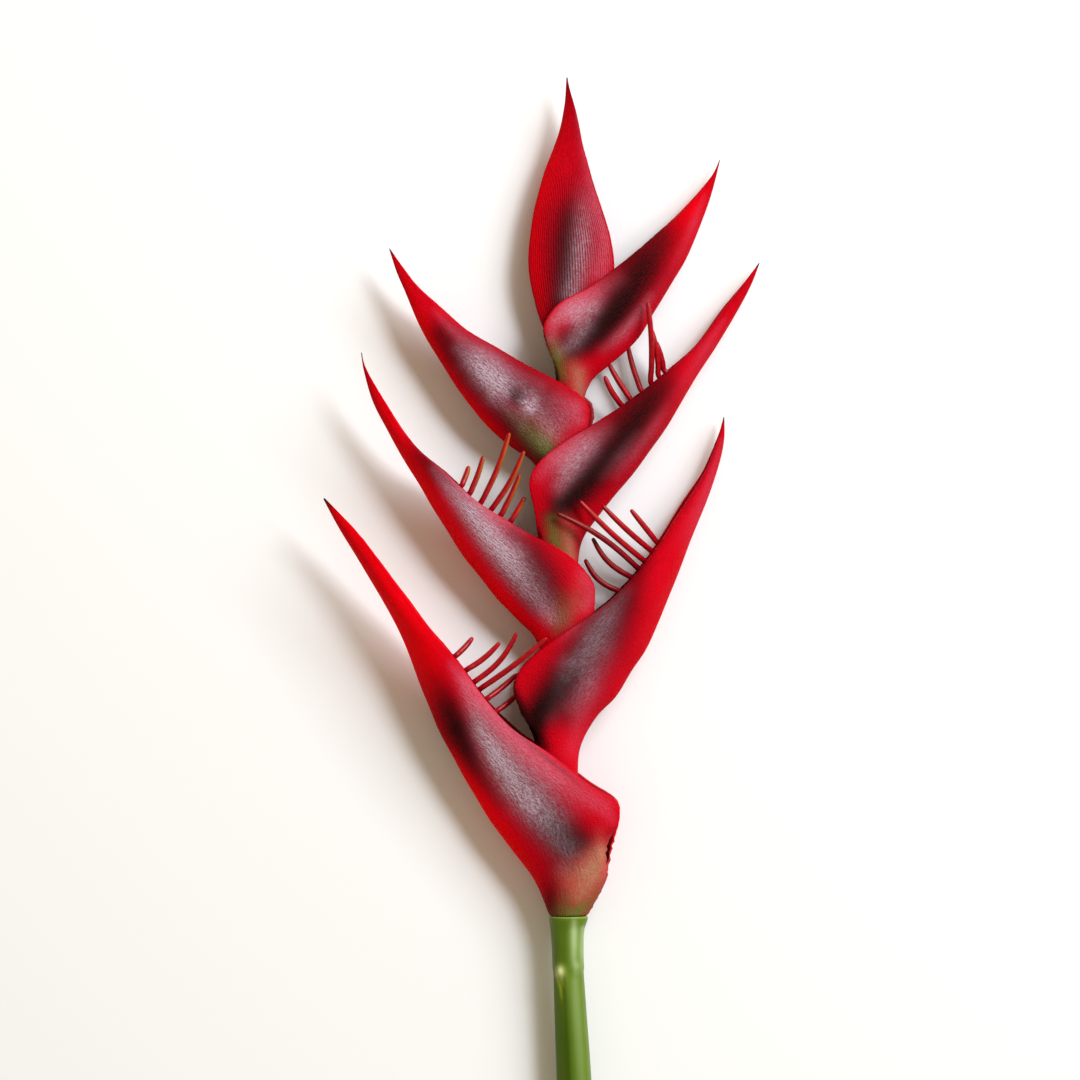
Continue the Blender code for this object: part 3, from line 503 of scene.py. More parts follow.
# Shape and colour of a floret, and the stalk that carries six of them
FLORET_RADIUS = 1.35
FLORET_TAPER = (1.0, 1.0, 1.04, 1.04, 1.0, 0.92, 0.70)
FLORET_POINTS = 22
FLORET_SIDES = 12
FLORET_CREASE = math.radians(50)
DOME_TURNS = (0, 25, 45, 62, 76, 86)
OLIVE_STRENGTH = 1.6
OLIVE_FROM = 0.15
OLIVE_OVER = 0.5
# Where a floret's painted underside shade begins, and how high it climbs on the maroon florets
UNDERSIDE_FROM = 0.5
MAROON_FROM = 1.4
FLORET_TIP_FROM = 0.9
FLORET_TIP_OVER = 1 / 6
STALK_RADIUS = 2.1
STALK_END_RADIUS = 1.5

# Light and camera, from the shadows in the photograph
LIGHT_TOWARD = math.radians(42.0)
KEY_ELEVATION = math.radians(50.0)
WINDOW_ELEVATION = math.radians(40.0)
LIGHT_DISTANCE = 3.0
CAMERA_DISTANCE = 3.0
SENSOR_WIDTH = 36.0
FLOOR_SIZE = 6.0
CLIP_END = 50.0


def linear(hex_color):
    """Linear RGBA from an sRGB hex colour."""
    shares = [int(hex_color[start:start + 2], 16) / 255 for start in (1, 3, 5)]
    return (*(c / 12.92 if c <= 0.04045 else ((c + 0.055) / 1.055) ** 2.4 for c in shares), 1.0)


def ease(share):
    """A share held from 0 to 1, with a soft start and a soft end."""
    share = np.clip(share, 0.0, 1.0)
    return share * share * (3.0 - 2.0 * share)


def hump(gap, width):
    """Height of a soft hump at a gap from its middle, where it is 1."""
    return np.exp(-(gap / width) ** 2)


def curve_at(rows, row):
    """Values at a fractional row, on the smooth curve through all rows."""
    last = len(rows) - 1
    start = min(int(row), last - 1)
    part = row - start
    near = [rows[min(max(start + step, 0), last)] for step in (-1, 0, 1, 2)]
    before, here, after, beyond = np.array(near)
    square = 2 * before - 5 * here + 4 * after - beyond
    cube = 3 * here - before - 3 * after + beyond
    return 0.5 * (2 * here + (after - before) * part + square * part ** 2 + cube * part ** 3)


def level_at(points, row):
    """Value at a row, on straight lines through points of row and value."""
    return float(np.interp(row, *zip(*points)))


def mid_height(x):
    """Height of the head's middle plane, which falls a little toward +X."""
    return AXIS_HEIGHT - SIDE_SLOPE * x


def from_photo(x, y):
    """Place in the head's own millimetres of a pixel of the photograph."""
    return (x - STEM_TOP_PIXEL[0]) * MM_PER_PIXEL, (STEM_TOP_PIXEL[1] - y) * MM_PER_PIXEL


def place(x, y, z):
    """Head millimetres as a place in the frame, in metres."""
    return Vector(((x + HEAD_X) * MM, (y + HEAD_Y) * MM, z * MM))


def crossing(bract, row):
    """Keel at a row, direction from keel to lip, distance between them, and half the thickness."""
    keel_x, keel_y, lip_x, lip_y, half = curve_at(bract["rows"], row)
    depth = math.hypot(lip_x - keel_x, lip_y - keel_y)
    return np.array((keel_x, keel_y)), np.array((lip_x - keel_x, lip_y - keel_y)) / depth, depth, half


def lip_swell_at(bract, row):
    """How far apart the lips stand: together at the neck, wide in the middle, closing to the tip."""
    closing = ease((row / (len(bract["rows"]) - 1) - LIPS_CLOSE_FROM) / LIPS_CLOSE_OVER)
    parting = ease((row - bract["open_row"] + LIPS_PART_BEFORE) / LIPS_PART_OVER)
    return (LIP_SWELL_BASE + (LIP_SWELL_TIP - LIP_SWELL_BASE) * closing) * parting


def half_section(bract, row, depth, half):
    """Points from keel to lip on the upper side: distance from the keel, and height."""
    ridge = bract["ridge"]
    shoulder_u, shoulder_w = KEEL_SHOULDER
    boat = [(0.0, 0.0), (shoulder_u * ridge, shoulder_w * RIDGE_SWELL), (ridge, RIDGE_SWELL)]
    for step, swell in zip(CHEEK_STEPS, (*CHEEK_SWELL, lip_swell_at(bract, row))):
        boat.append((ridge + (1.0 - ridge) * step, swell))
    turns = np.linspace(0.0, math.pi, SECTION_STEPS + 1)
    ring = np.column_stack((0.5 * (1.0 - np.cos(turns)), np.sin(turns)))
    return (ring + (boat - ring) * ease(row / (bract["open_row"] + BOAT_AFTER))) * (depth, half)


def bract_station(bract, row):
    """A function that gives the place of any point across the bract at this row, and half its thickness."""
    keel, toward, depth, half = crossing(bract, row)
    lift = bract["tip_lift"] * (row / (len(bract["rows"]) - 1)) ** TIP_LIFT_POWER
    sag = bract["belly_sag"] * hump(row - bract["belly_row"], BELLY_SPREAD)
    section = half_section(bract, row, depth, half)
    mirrored = [section[1] * (1, -1), *section]
    drawn_back = level_at(bract["near_lip"], row)

    def point(across):
        along, height = curve_at(mirrored, 1.0 + abs(across) * SECTION_STEPS)
        if across < 0:
            along -= drawn_back * ease((-across - DRAWN_BACK_FROM) / (1.0 - DRAWN_BACK_FROM))
        else:
            height = -(height + sag * height / half)
        x, y = keel + toward * along
        return place(x, y, max(mid_height(x) + lift + height, 0.0))

    return point, half


def set_attributes(mesh, **attributes):
    """Store one number per vertex under each name, for the materials."""
    for name, values in attributes.items():
        layer = mesh.attributes.get(name) or mesh.attributes.new(name, "FLOAT", "POINT")
        layer.data.foreach_set("value", np.full(len(mesh.vertices), values, dtype=np.float32))


def get_attribute(mesh, name):
    """The numbers stored per vertex under a name."""
    values = np.empty(len(mesh.vertices), dtype=np.float32)
    mesh.attributes[name].data.foreach_get("value", values)
    return values


def vertex_places(mesh):
    """All vertices in head millimetres."""
    places = np.empty(len(mesh.vertices) * 3, dtype=np.float32)
    mesh.vertices.foreach_get("co", places)
    return places.reshape(-1, 3) / MM - np.array((HEAD_X, HEAD_Y, 0.0))


def move_vertices(mesh, places):
    """Put all vertices at places in head millimetres, and none under the table."""
    places[:, 2] = np.maximum(places[:, 2], 0.0)
    world = (places + np.array((HEAD_X, HEAD_Y, 0.0))) * MM
    mesh.vertices.foreach_set("co", world.ravel().astype(np.float32))
    mesh.update()


def painted(places, strokes):
    """Cover that soft strokes leave at each place seen from above, from 0 to 1."""
    bare = np.ones(len(places))
    for points in strokes:
        route = np.array([(*from_photo(x, y), radius * MM_PER_PIXEL, strength)
                          for x, y, radius, strength in points])
        cover = np.zeros(len(places))
        for start, end in zip(route, [*route[1:], route[-1]]):
            run = end - start
            away = places[:, :2] - start[:2]
            share = np.clip(away @ run[:2] / max(run[:2] @ run[:2], SHORTEST), 0.0, 1.0)
            gap = away - share[:, None] * run[:2]
            far = (gap ** 2).sum(axis=1) / (start[2] + share * run[2]) ** 2
            cover = np.maximum(cover, (start[3] + share * run[3]) * np.exp(-STROKE_FALL * far))
        bare *= 1.0 - cover
    return 1.0 - bare


def make_bract(name, skin, lining, sizes):
    """One bract from a grid: shaped, closed round the neck, given its wall and rounded."""
    bract = BRACTS[name]
    last = len(bract["rows"]) - 1
    bpy.ops.object.select_all(action="DESELECT")
    bpy.ops.mesh.primitive_grid_add(x_subdivisions=FACES_ACROSS, y_subdivisions=FACES_ALONG, size=2.0)
    leaf = bpy.context.object
    leaf.name = name + "_leaf"
    mesh = leaf.data
    wall = leaf.vertex_groups.new(name="wall")
    stations = {}
    across = []
    along = []
    for vertex in mesh.vertices:
        row = round(0.5 * (vertex.co.y + 1.0) * FACES_ALONG) * last / FACES_ALONG
        if row not in stations:
            stations[row] = bract_station(bract, row)
        point, half = stations[row]
        across.append(vertex.co.x)
        along.append(row / last)
        vertex.co = point(vertex.co.x)
        share = min(1.0, WALL_SHARE_AT_TIP * half / bract["wall"])
        wall.add([vertex.index], max(share, THINNEST_WALL), "REPLACE")
        vertex.select = abs(across[-1]) > AT_LIP and row < bract["open_row"] + CLOSED_PAST
    set_attributes(mesh, across=across, along=along)
    bpy.ops.object.mode_set(mode="EDIT")
    bpy.ops.mesh.select_mode(type="VERT")
    bpy.ops.mesh.remove_doubles(threshold=WELD_GAP * MM)
    bpy.ops.mesh.select_all(action="SELECT")
    if "right" not in name:
        bpy.ops.mesh.flip_normals()
    bpy.ops.object.mode_set(mode="OBJECT")
    mesh.materials.append(skin)
    mesh.materials.append(lining)
    thicken = leaf.modifiers.new("wall", "SOLIDIFY")
    thicken.thickness = bract["wall"] * MM
    thicken.offset = -1.0
    thicken.vertex_group = "wall"
    thicken.material_offset = 1
    leaf.modifiers.new("rounding", "SUBSURF").levels = 1
    for modifier in ("wall", "rounding"):
        bpy.ops.object.modifier_apply(modifier=modifier)
    roughen_bract(mesh, bract, DENTS.get(name, []), sizes)
    places = vertex_places(mesh)
    rim = np.clip((1.0 - np.abs(get_attribute(mesh, "across"))) / BRIGHT_RIM, 0.0, 1.0)
    # Layers of grown colour, painted light along the keels, and painted pink and grey highlights; the
    # highlights stop short of the lip's rim
    for layer in PAINT_LAYERS:
        cover = painted(places, PAINT[name].get(layer, []))
        set_attributes(mesh, **{layer: cover * rim if layer in ("blush", "bloom") else cover})
    bpy.ops.object.shade_smooth()
    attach(leaf, "root")
    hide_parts(name)


def roughen_bract(mesh, bract, dents, sizes):
    """Waves in the cheeks, pressed dents, and the small torn teeth along lips and keel."""
    across = get_attribute(mesh, "across")
    along = get_attribute(mesh, "along")
    places = vertex_places(mesh)
    normals = np.array([vertex.normal for vertex in mesh.vertices])
    waves = np.array([noise.noise(Vector(spot / sizes.wave_length * MM)) for spot in places])
    waves *= np.minimum(1.0, CHEEK_FADE * along) * np.minimum(1.0, CHEEK_FADE * (1.0 - along))
    moves = normals * waves[:, None] * sizes.wave_height / MM
    edges = (np.abs(across) - TEETH_FROM) / (1.0 - TEETH_FROM)
    for index in np.flatnonzero(edges > 0):
        x, y = places[index, :2]
        row = along[index] * (len(bract["rows"]) - 1)
        tooth = noise.noise(Vector((x, y, TOOTH_LEVEL + across[index])) * TOOTH_SCALE)
        tooth += SMALL_TOOTH_SHARE * noise.noise(Vector((x, y, SMALL_TOOTH_LEVEL)) * SMALL_TOOTH_SCALE)
        push = edges[index] * level_at(bract["teeth"], row) * (tooth - TOOTH_BITE)
        moves[index, :2] += crossing(bract, row)[1] * push
    for pixel, radius, depth in dents:
        gap = np.hypot(*(places[:, :2] - from_photo(*pixel)).T)
        faces_up = np.clip(normals[:, 2] * DENT_FADE, 0.0, 1.0)
        moves[:, 2] -= depth * hump(gap, radius) * faces_up * (across < 0)
    move_vertices(mesh, places + moves)


def smooth_route(points, count):
    """A finer route through points, on one smooth curve."""
    return [curve_at(points, row) for row in np.linspace(0, len(points) - 1, count)]


def round_end(points):
    """The same route of X, Y, Z and radius, with its last stretch closed as a dome."""
    end = points[-1]
    heading = (end - points[-2])[:3]
    heading /= np.linalg.norm(heading)
    radius = end[3]
    kept = [point for point in points if np.linalg.norm((point - end)[:3]) > radius]
    for turn in np.radians(DOME_TURNS):
        middle = end[:3] - heading * radius * (1.0 - math.sin(turn))
        kept.append(np.array((*middle, radius * math.cos(turn))))
    return kept


def make_rod(name, points):
    """A round rod along points of X, Y, Z and radius in millimetres, as a closed mesh."""
    bpy.ops.object.select_all(action="DESELECT")
    bpy.ops.curve.primitive_nurbs_path_add()
    rod = bpy.context.object
    rod.name = name
    data = rod.data
    data.splines.clear()
    data.bevel_depth = MM
    # A bevel has four sides, and two more for each step of its resolution
    data.bevel_resolution = (FLORET_SIDES - 4) // 2
    data.use_fill_caps = True
    spline = data.splines.new("POLY")
    spline.points.add(len(points) - 1)
    for point, (x, y, z, radius) in zip(spline.points, points):
        point.co = (*place(x, y, z), 1.0)
        point.radius = radius
    bpy.ops.object.convert(target="MESH")
    bpy.ops.object.mode_set(mode="EDIT")
    bpy.ops.mesh.select_all(action="SELECT")
    bpy.ops.mesh.remove_doubles(threshold=SAME_PLACE * MM)
    bpy.ops.mesh.normals_make_consistent(inside=False)
    bpy.ops.object.mode_set(mode="OBJECT")
    return bpy.context.object


def floret_route(row, root_lift, keelward):
    """Route and radii of one floret: from its root on the stalk over the lip to its tip."""
    base_x, base_y, tip_x, tip_y, base_lift, tip_lift, bow = row
    run_x = tip_x - base_x
    run_y = tip_y - base_y
    lift = root_lift + base_lift
    route = [(base_x + keelward[0], base_y + keelward[1], root_lift)]
    for share in np.linspace(0.0, 1.0, len(FLORET_TAPER) - 1):
        sideways = bow * math.sin(math.pi * share) / math.hypot(run_x, run_y)
        rise = (tip_lift - lift) * math.sin(0.5 * math.pi * share)
        route.append((base_x + run_x * share + run_y * sideways,
                      base_y + run_y * share - run_x * sideways, lift + rise))
    return [(x, y, mid_height(x) + rise, FLORET_RADIUS * taper)
            for (x, y, rise), taper in zip(route, FLORET_TAPER)]


def make_florets(name, skin):
    """A bunch of florets on the stalk that carries them inside the bract."""
    bunch = FLORETS[name]
    shift_x, shift_y = bunch["keelward"]
    lifts = np.linspace(*bunch["lift"], len(bunch["rows"]))
    start_lifts = np.linspace(0.0, lifts[0], len(bunch["stalk"]) + 1)[:-1]
    spots = bunch["stalk"] + [(row[0] + shift_x, row[1] + shift_y) for row in bunch["rows"]]
    radii = np.linspace(STALK_RADIUS, STALK_END_RADIUS, len(spots))
    route = [(x, y, mid_height(x) + lift, radius)
             for (x, y), lift, radius in zip(spots, [*start_lifts, *lifts], radii)]
    stalk = make_rod(name + "_bunch", route)
    # The stalk inside the bract is deep red all over, as painted shade
    set_attributes(stalk.data, along=0.0, olive=0.0, under=1.0)
    rods = [stalk]
    for index, (row, lift) in enumerate(zip(bunch["rows"], lifts)):
        points = round_end(smooth_route(floret_route(row, lift, bunch["keelward"]), FLORET_POINTS))
        rod = make_rod(f"{name}_{index}", points)
        places = vertex_places(rod.data)
        middles = np.array(points)[:, :3]
        nearest = np.linalg.norm(places[:, None] - middles, axis=2).argmin(axis=1)
        outward = (places - middles[nearest]) / FLORET_RADIUS
        along = nearest / (len(points) - 1)
        olive = np.clip(OLIVE_STRENGTH * (outward[:, :2] @ bunch["olive_side"]), 0.0, 1.0)
        olive *= np.clip((along - OLIVE_FROM) / OLIVE_OVER, 0.0, 1.0)
        # Painted shade: below a height round the floret it turns deep red, and on the maroon florets the
        # painted shade climbs almost to the top
        red_height = MAROON_FROM if index in bunch.get("maroon", ()) else UNDERSIDE_FROM
        under = np.clip(red_height - outward[:, 2], 0.0, 1.0)
        set_attributes(rod.data, along=along, olive=olive, under=under)
        rods.append(rod)
    for rod in rods:
        rod.select_set(True)
    bpy.context.view_layer.objects.active = stalk
    bpy.ops.object.join()
    stalk.data.materials.clear()
    stalk.data.materials.append(skin)
    bpy.ops.object.shade_smooth_by_angle(angle=FLORET_CREASE)
    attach(stalk, "root")
    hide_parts(name)


def make_stem(skin, sizes):
    """The stem from a round disc, extruded ring by ring to the cut end and up inside the head."""
    rings = smooth_rings()
    x, y, z, radius = rings[0]
    bpy.ops.object.select_all(action="DESELECT")
    bpy.ops.mesh.primitive_circle_add(vertices=STEM_SIDES, radius=radius * MM, fill_type="NGON",
                                      location=place(x, y, z), rotation=(math.radians(90), 0.0, 0.0))
    stem = bpy.context.object
    stem.name = "stem_and_axis"
    bpy.ops.object.transform_apply(location=True, rotation=True, scale=True)
    bpy.ops.object.mode_set(mode="EDIT")
    bpy.ops.mesh.select_all(action="SELECT")
    for before, ring in zip(rings, rings[1:]):
        middle = place(*ring[:3])
        step = middle - place(*before[:3])
        bpy.ops.mesh.extrude_region_move(TRANSFORM_OT_translate={"value": step})
        bpy.ops.transform.resize(value=(ring[3] / before[3],) * 3, center_override=middle)
    bpy.ops.mesh.select_all(action="SELECT")
    bpy.ops.mesh.normals_make_consistent(inside=False)
    bpy.ops.object.mode_set(mode="OBJECT")
    facet_stem(stem.data, np.array(rings), sizes)
    stem.data.materials.append(skin)
    bpy.ops.object.shade_smooth_by_angle(angle=STEM_CREASE)
    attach(stem, "root")
    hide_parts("stem")


def smooth_rings():
    """Ring middles and radii of stem and axis, close together where the outline bends."""
    stem = smooth_route(STEM_RINGS[:-1], STEM_STEPS)
    axis = smooth_route([STEM_RINGS[-1], *AXIS_RINGS], AXIS_STEPS)
    rings = []
    for x, y, radius in stem + axis:
        drop = STEM_DROP_AT_END * max((y - STEM_LEVEL_FROM) / (STEM_END - STEM_LEVEL_FROM), 0.0)
        rings.append((x, y, mid_height(x) if y > 0 else AXIS_HEIGHT - drop, radius))
    return rings


def facet_stem(mesh, rings, sizes):
    """Soft flats along the stem below its node, and the scar with its groove, in form and colour, with the
    painted highlight and painted shade along the stem.
    """
    places = vertex_places(mesh)
    middles = rings[np.abs(rings[:, 1] - places[:, 1:2]).argmin(axis=1), :3]
    outward = places - middles
    turns = np.arctan2(outward[:, 2], outward[:, 0]) + FLATS_TURNED
    flats = math.cos(FLAT_TURN / 2) / np.cos(turns % FLAT_TURN - FLAT_TURN / 2) - 1.0
    swell = ease((NODE_Y - places[:, 1]) / FLATS_FADE) * sizes.flats * flats
    swell += NODE_SWELL * hump(places[:, 1] - NODE_SWELL_Y, NODE_SWELL_LENGTH)
    gap_x, gap_y = (places[:, :2] - SCAR).T
    scar = SCAR_SWELL * hump(gap_x, SCAR_WIDTH) * hump(gap_y, SCAR_LENGTH)
    groove = ease(-gap_y / GROOVE_START) * ease((gap_y + GROOVE_END) / GROOVE_FADE)
    scar -= GROOVE_DEPTH * groove * hump(gap_x - GROOVE_X, GROOVE_WIDTH)
    swell += scar * (outward[:, 2] > 0)
    places = middles + outward * (1.0 + swell[:, None])
    move_vertices(mesh, places)
    gap_x, gap_y = (places[:, :2] - SCAR).T
    nub = hump(gap_x, SCAR_TINT_WIDTH) * hump(gap_y, SCAR_LENGTH)
    set_attributes(mesh, nub=nub * (places[:, 2] > AXIS_HEIGHT))
    # Grown grooves, painted highlight and painted shade, each as its own layer
    for layer, strokes in STEM_PAINT.items():
        cover = painted(places, strokes) * (places[:, 2] > 0.5 * AXIS_HEIGHT)
        set_attributes(mesh, **{layer: cover})


def set_inputs(tree, node, inputs):
    """Give each named input of a shader node its value, or link it to another node's socket."""
    for socket, value in inputs.items():
        if isinstance(value, bpy.types.NodeSocket):
            tree.links.new(value, node.inputs[socket])
        else:
            node.inputs[socket].default_value = value


def add_node(tree, kind, inputs=None, output=0, **settings):
    """Add a shader node with its inputs and settings, and give one of its outputs."""
    node = tree.nodes.new("ShaderNode" + kind)
    for name, value in settings.items():
        setattr(node, name, value)
    set_inputs(tree, node, inputs or {})
    return node.outputs[output]


def new_material(name, roughness, specular, attributes=()):
    """A material, a function that adds nodes, one that sets the shader's inputs, and the attributes."""
    material = bpy.data.materials.new(name)
    material.use_nodes = True
    tree = material.node_tree
    add = functools.partial(add_node, tree)
    shade = functools.partial(set_inputs, tree, tree.nodes["Principled BSDF"])
    shade({"Roughness": roughness, "Specular IOR Level": specular})
    masks = {mask: add("Attribute", output="Fac", attribute_name=mask) for mask in attributes}
    return material, add, shade, masks


def bract_skin(name, colors, sizes, ribbed):
    """Bract: fleshy leaf tissue under a thin wax, grown smooth along its fibres.

    The flesh gives a deep even red. Painted into the colour are a soft grey reflection over the dark patches
    and a pink one along the lips, both broken up along the fibres, and brighter painted light along the
    keels.
    """
    attributes = ("across", "along", *PAINT_LAYERS)
    material, add, shade, masks = new_material(name, BRACT_ROUGHNESS, sizes.gloss, attributes)
    on_object = add("TexCoord", output="Object")
    spread = add("Math", {0: masks["across"]}, operation="ABSOLUTE")
    width = add("Math", {0: spread, 1: sizes.cheek_width}, operation="MULTIPLY")
    length = add("Math", {0: masks["along"], 1: sizes.bract_length}, operation="MULTIPLY")
    on_leaf = add("CombineXYZ", {"X": width, "Y": length})
    layouts = {"fibre": (on_leaf, sizes.fibre_spacing, sizes.fibre_length, 1.0),
               "wrinkle": (on_leaf, sizes.wrinkle_spacing, sizes.wrinkle_length, 1.0),
               "grain": (on_object, sizes.grain, sizes.grain, sizes.grain)}
    streaks = 0.0
    for key, (coordinates, *lengths) in layouts.items():
        share, rough = FIBRE_SHARE[key]
        scaled = add("VectorMath", {0: coordinates, 1: lengths}, operation="DIVIDE")
        pattern = add("TexNoise", {"Vector": scaled, "Scale": 1.0, "Detail": 2.0, "Roughness": rough}, "Fac")
        streaks = add("Math", {0: pattern, 1: share, 2: streaks}, operation="MULTIPLY_ADD")
    if ribbed:
        turns = add("Math", {0: width, 1: 2.0 * math.pi / sizes.rib_spacing}, operation="MULTIPLY")
        ribs = add("Math", {0: turns}, operation="SINE")
        streaks = add("Math", {0: ribs, 1: RIB_SHARE, 2: streaks}, operation="MULTIPLY_ADD")
    uneven = add("Math", {0: streaks, 1: PATTERN_MEAN}, operation="SUBTRACT")
    mottle = add("TexNoise", {"Vector": on_object, "Scale": 1.0 / sizes.mottle, "Detail": 4.0}, "Fac")
    covers = {"red": mottle}
    for layer in PAINT_LAYERS:
        broken = add("Math", {0: uneven, 1: BREAK_UP[layer], 2: 1.0}, operation="MULTIPLY_ADD")
        covers[layer] = add("Math", {0: masks[layer], 1: broken}, operation="MULTIPLY", use_clamp=True)
    covers["tip"] = add("MapRange", {0: masks["along"], 1: TIP_FROM, 2: 1.0})
    # Colours are mixed as the eye weighs them, so that the fades run evenly
    seen = {key: tuple(part ** (1.0 / EYE_GAMMA) for part in color) for key, color in colors.items()}
    color = seen["red_deep"]
    for layer, cover in covers.items():
        color = add("Mix", {0: cover, 6: color, 7: seen[layer]}, 2, data_type="RGBA")
    color = add("Gamma", {"Color": color, "Gamma": EYE_GAMMA})
    relief = {"Height": streaks, "Strength": 1.0, "Distance": sizes.fibre_height}
    shade({"Base Color": color, "Normal": add("Bump", relief, "Normal")})
    return material


def lining_skin(colors, sizes):
    """Lining of a bract: smooth flesh in a deeper and more even red than the skin, darkened as painted shade
    for the inside of the hollow.
    """
    material, add, shade, _ = new_material("smooth_bract_lining", roughness=0.45, specular=0.2)
    on_object = add("TexCoord", output="Object")
    patches = add("TexNoise", {"Vector": on_object, "Scale": 1.0 / sizes.lining_patch, "Detail": 4.0}, "Fac")
    color = add("Mix", {0: patches, 6: colors["lining"], 7: colors["lining_deep"]}, 2, data_type="RGBA")
    shade({"Base Color": color})
    return material


def floret_skin(colors, sizes):
    """Floret: a fleshy tube under thin wax, so it is glossy and red, orange-olive down one side, and painted
    deep red on its underside as shade.
    """
    material, add, shade, masks = new_material("waxy_floret_skin", roughness=0.28, specular=0.22,
                                               attributes=("along", "olive", "under"))
    on_object = add("TexCoord", output="Object")
    patches = add("TexNoise", {"Vector": on_object, "Scale": 1.0 / sizes.patch, "Detail": 3.0}, "Fac")
    tip = add("MapRange", {0: masks["along"], 1: FLORET_TIP_FROM, 2: FLORET_TIP_FROM + FLORET_TIP_OVER})
    color = colors["deep"]
    for cover, over in ((patches, "red"), (masks["under"], "deep"), (masks["olive"], "olive"), (tip, "tip")):
        color = add("Mix", {0: cover, 6: color, 7: colors[over]}, 2, data_type="RGBA")
    shade({"Base Color": color})
    return material


def stem_skin(colors, sizes):
    """Stem: fibrous green tissue under a waxy rind, so it is smooth and satin along its length.

    It runs red-brown where it is the axis inside the head, and pale at the rim and the scar. A highlight
    down its lit side and shade down its other side are painted into the colour.
    """
    layers = (*STEM_PAINT, "nub")
    material, add, shade, masks = new_material("waxy_stem_rind", roughness=0.35, specular=0.14,
                                               attributes=layers)
    on_object = add("TexCoord", output="Object")
    stretched = add("VectorMath", {0: on_object, 1: (1.0, STEM_FIBRE_STRETCH, 1.0)}, operation="MULTIPLY")
    fibres = add("TexNoise", {"Vector": stretched, "Scale": 1.0 / sizes.fibre_spacing, "Detail": 4.0}, "Fac")
    patches = add("TexNoise", {"Vector": on_object, "Scale": 1.0 / sizes.patch, "Detail": 3.0}, "Fac")
    pale = add("Math", {0: fibres, 1: PALE_FIBRES}, operation="MULTIPLY")
    along = add("SeparateXYZ", {0: on_object}, "Y")
    inside, rim = [add("MapRange", {0: along, 1: (HEAD_Y + start) * MM, 2: (HEAD_Y + start + fade) * MM})
                   for start, fade in ((AXIS_FROM, AXIS_FADE), (RIM_FROM, RIM_FADE))]
    rim = add("Math", {0: rim, 1: inside}, operation="SUBTRACT", use_clamp=True)
    rim = add("Math", {0: rim, 1: RIM_SHARE}, operation="MULTIPLY")
    color = colors["deep"]
    for cover, over in ((patches, "green"), (pale, "pale"), *((masks[layer], layer) for layer in layers),
                        (inside, "axis"), (rim, "pale")):
        color = add("Mix", {0: cover, 6: color, 7: colors[over]}, 2, data_type="RGBA")
    relief = {"Height": fibres, "Strength": 0.5, "Distance": 0.15 * MM}
    shade({"Base Color": color, "Normal": add("Bump", relief, "Normal")})
    return material


def color_prop(name, description, hex_color):
    """A setting for a colour."""
    return bpy.props.FloatVectorProperty(name=name, description=description, subtype="COLOR", size=4,
                                         min=0.0, max=1.0, default=linear(hex_color))


def number_prop(name, description, default, **settings):
    """A setting for a number, from 0 up."""
    return bpy.props.FloatProperty(name=name, description=description, min=0.0, default=default, **settings)


def length_prop(name, description, millimetres):
    """A setting for a length."""
    return number_prop(name, description, millimetres * MM, unit="LENGTH", precision=5)


class HELICONIA_PG_bracts(bpy.types.PropertyGroup):
    red: color_prop("Red", "Lightest red of a cheek", "#CC0518")
    red_deep: color_prop("Deep red", "Deepest red of a cheek", "#C40317")
    # Painted light: brighter red along the keels and near the tips, lifting the shade where a keel turns
    # away
    glow: color_prop("Glow", "Bright red along a keel and near a tip", "#FA000A")
    # Painted highlight: pale pink along the lips and the keel ridges, where the light catches them
    blush: color_prop("Blush", "Pale pink that shows along a lip", "#C87486")
    dark: color_prop("Dark", "Near-black patch on a cheek", "#1E0A0A")
    # Painted reflection: grey-violet over the dark patches, where the cheeks face the light
    bloom: color_prop("Bloom", "Grey-violet bloom over the dark patch", "#BEA6B4")
    cream: color_prop("Cream", "Orange-cream at a neck", "#A87258")
    olive: color_prop("Olive", "Olive green at a neck", "#646A30")
    tip: color_prop("Tip", "Dried tip of a bract", "#3A2A14")
    # Lining colours: darker than the skin as painted shade inside the hollow, with random deeper patches
    lining: color_prop("Lining", "Inside of a bract", "#9A000C")
    lining_deep: color_prop("Deep lining", "Inside of a bract in its patches", "#78000A")
    gloss: number_prop("Gloss", "Strength of the wax's reflection", 0.015, subtype="FACTOR", max=1.0)
    wave_length: length_prop("Wave length", "Distance between waves in a cheek", 18.0)
    wave_height: length_prop("Wave height", "Height of the waves in a cheek", 0.5)
    cheek_width: length_prop("Cheek width", "Width of a cheek, from keel to lip", 40.0)
    bract_length: length_prop("Bract length", "Length of a bract, from neck to tip", 200.0)
    fibre_spacing: length_prop("Fibre spacing", "Distance between fibres across a bract", 0.8)
    fibre_length: length_prop("Fibre length", "Length of a fibre along a bract", 6.0)
    fibre_height: length_prop("Fibre height", "How far fibres stand out", 1.1)
    wrinkle_spacing: length_prop("Wrinkle spacing", "Distance between fine wrinkles", 0.8)
    wrinkle_length: length_prop("Wrinkle length", "Length of a fine wrinkle", 2.4)
    rib_spacing: length_prop("Rib spacing", "Distance between the top bract's ribs", 1.05)
    grain: length_prop("Grain", "Size of the wax grain", 0.85)
    mottle: length_prop("Mottle", "Size of the patches in the red", 9.0)
    lining_patch: length_prop("Lining patch", "Size of the patches inside a bract", 12.0)


class HELICONIA_PG_florets(bpy.types.PropertyGroup):
    red: color_prop("Red", "Lightest red of a floret", "#CE0418")
    # Deep red of a floret's underside, painted shade
    deep: color_prop("Deep red", "Underside of a floret", "#560010")
    olive: color_prop("Olive", "Orange-olive side of a floret", "#A8641A")
    tip: color_prop("Tip", "Tip of a floret", "#A80C16")
    patch: length_prop("Patch", "Size of the patches in the red", 2.5)


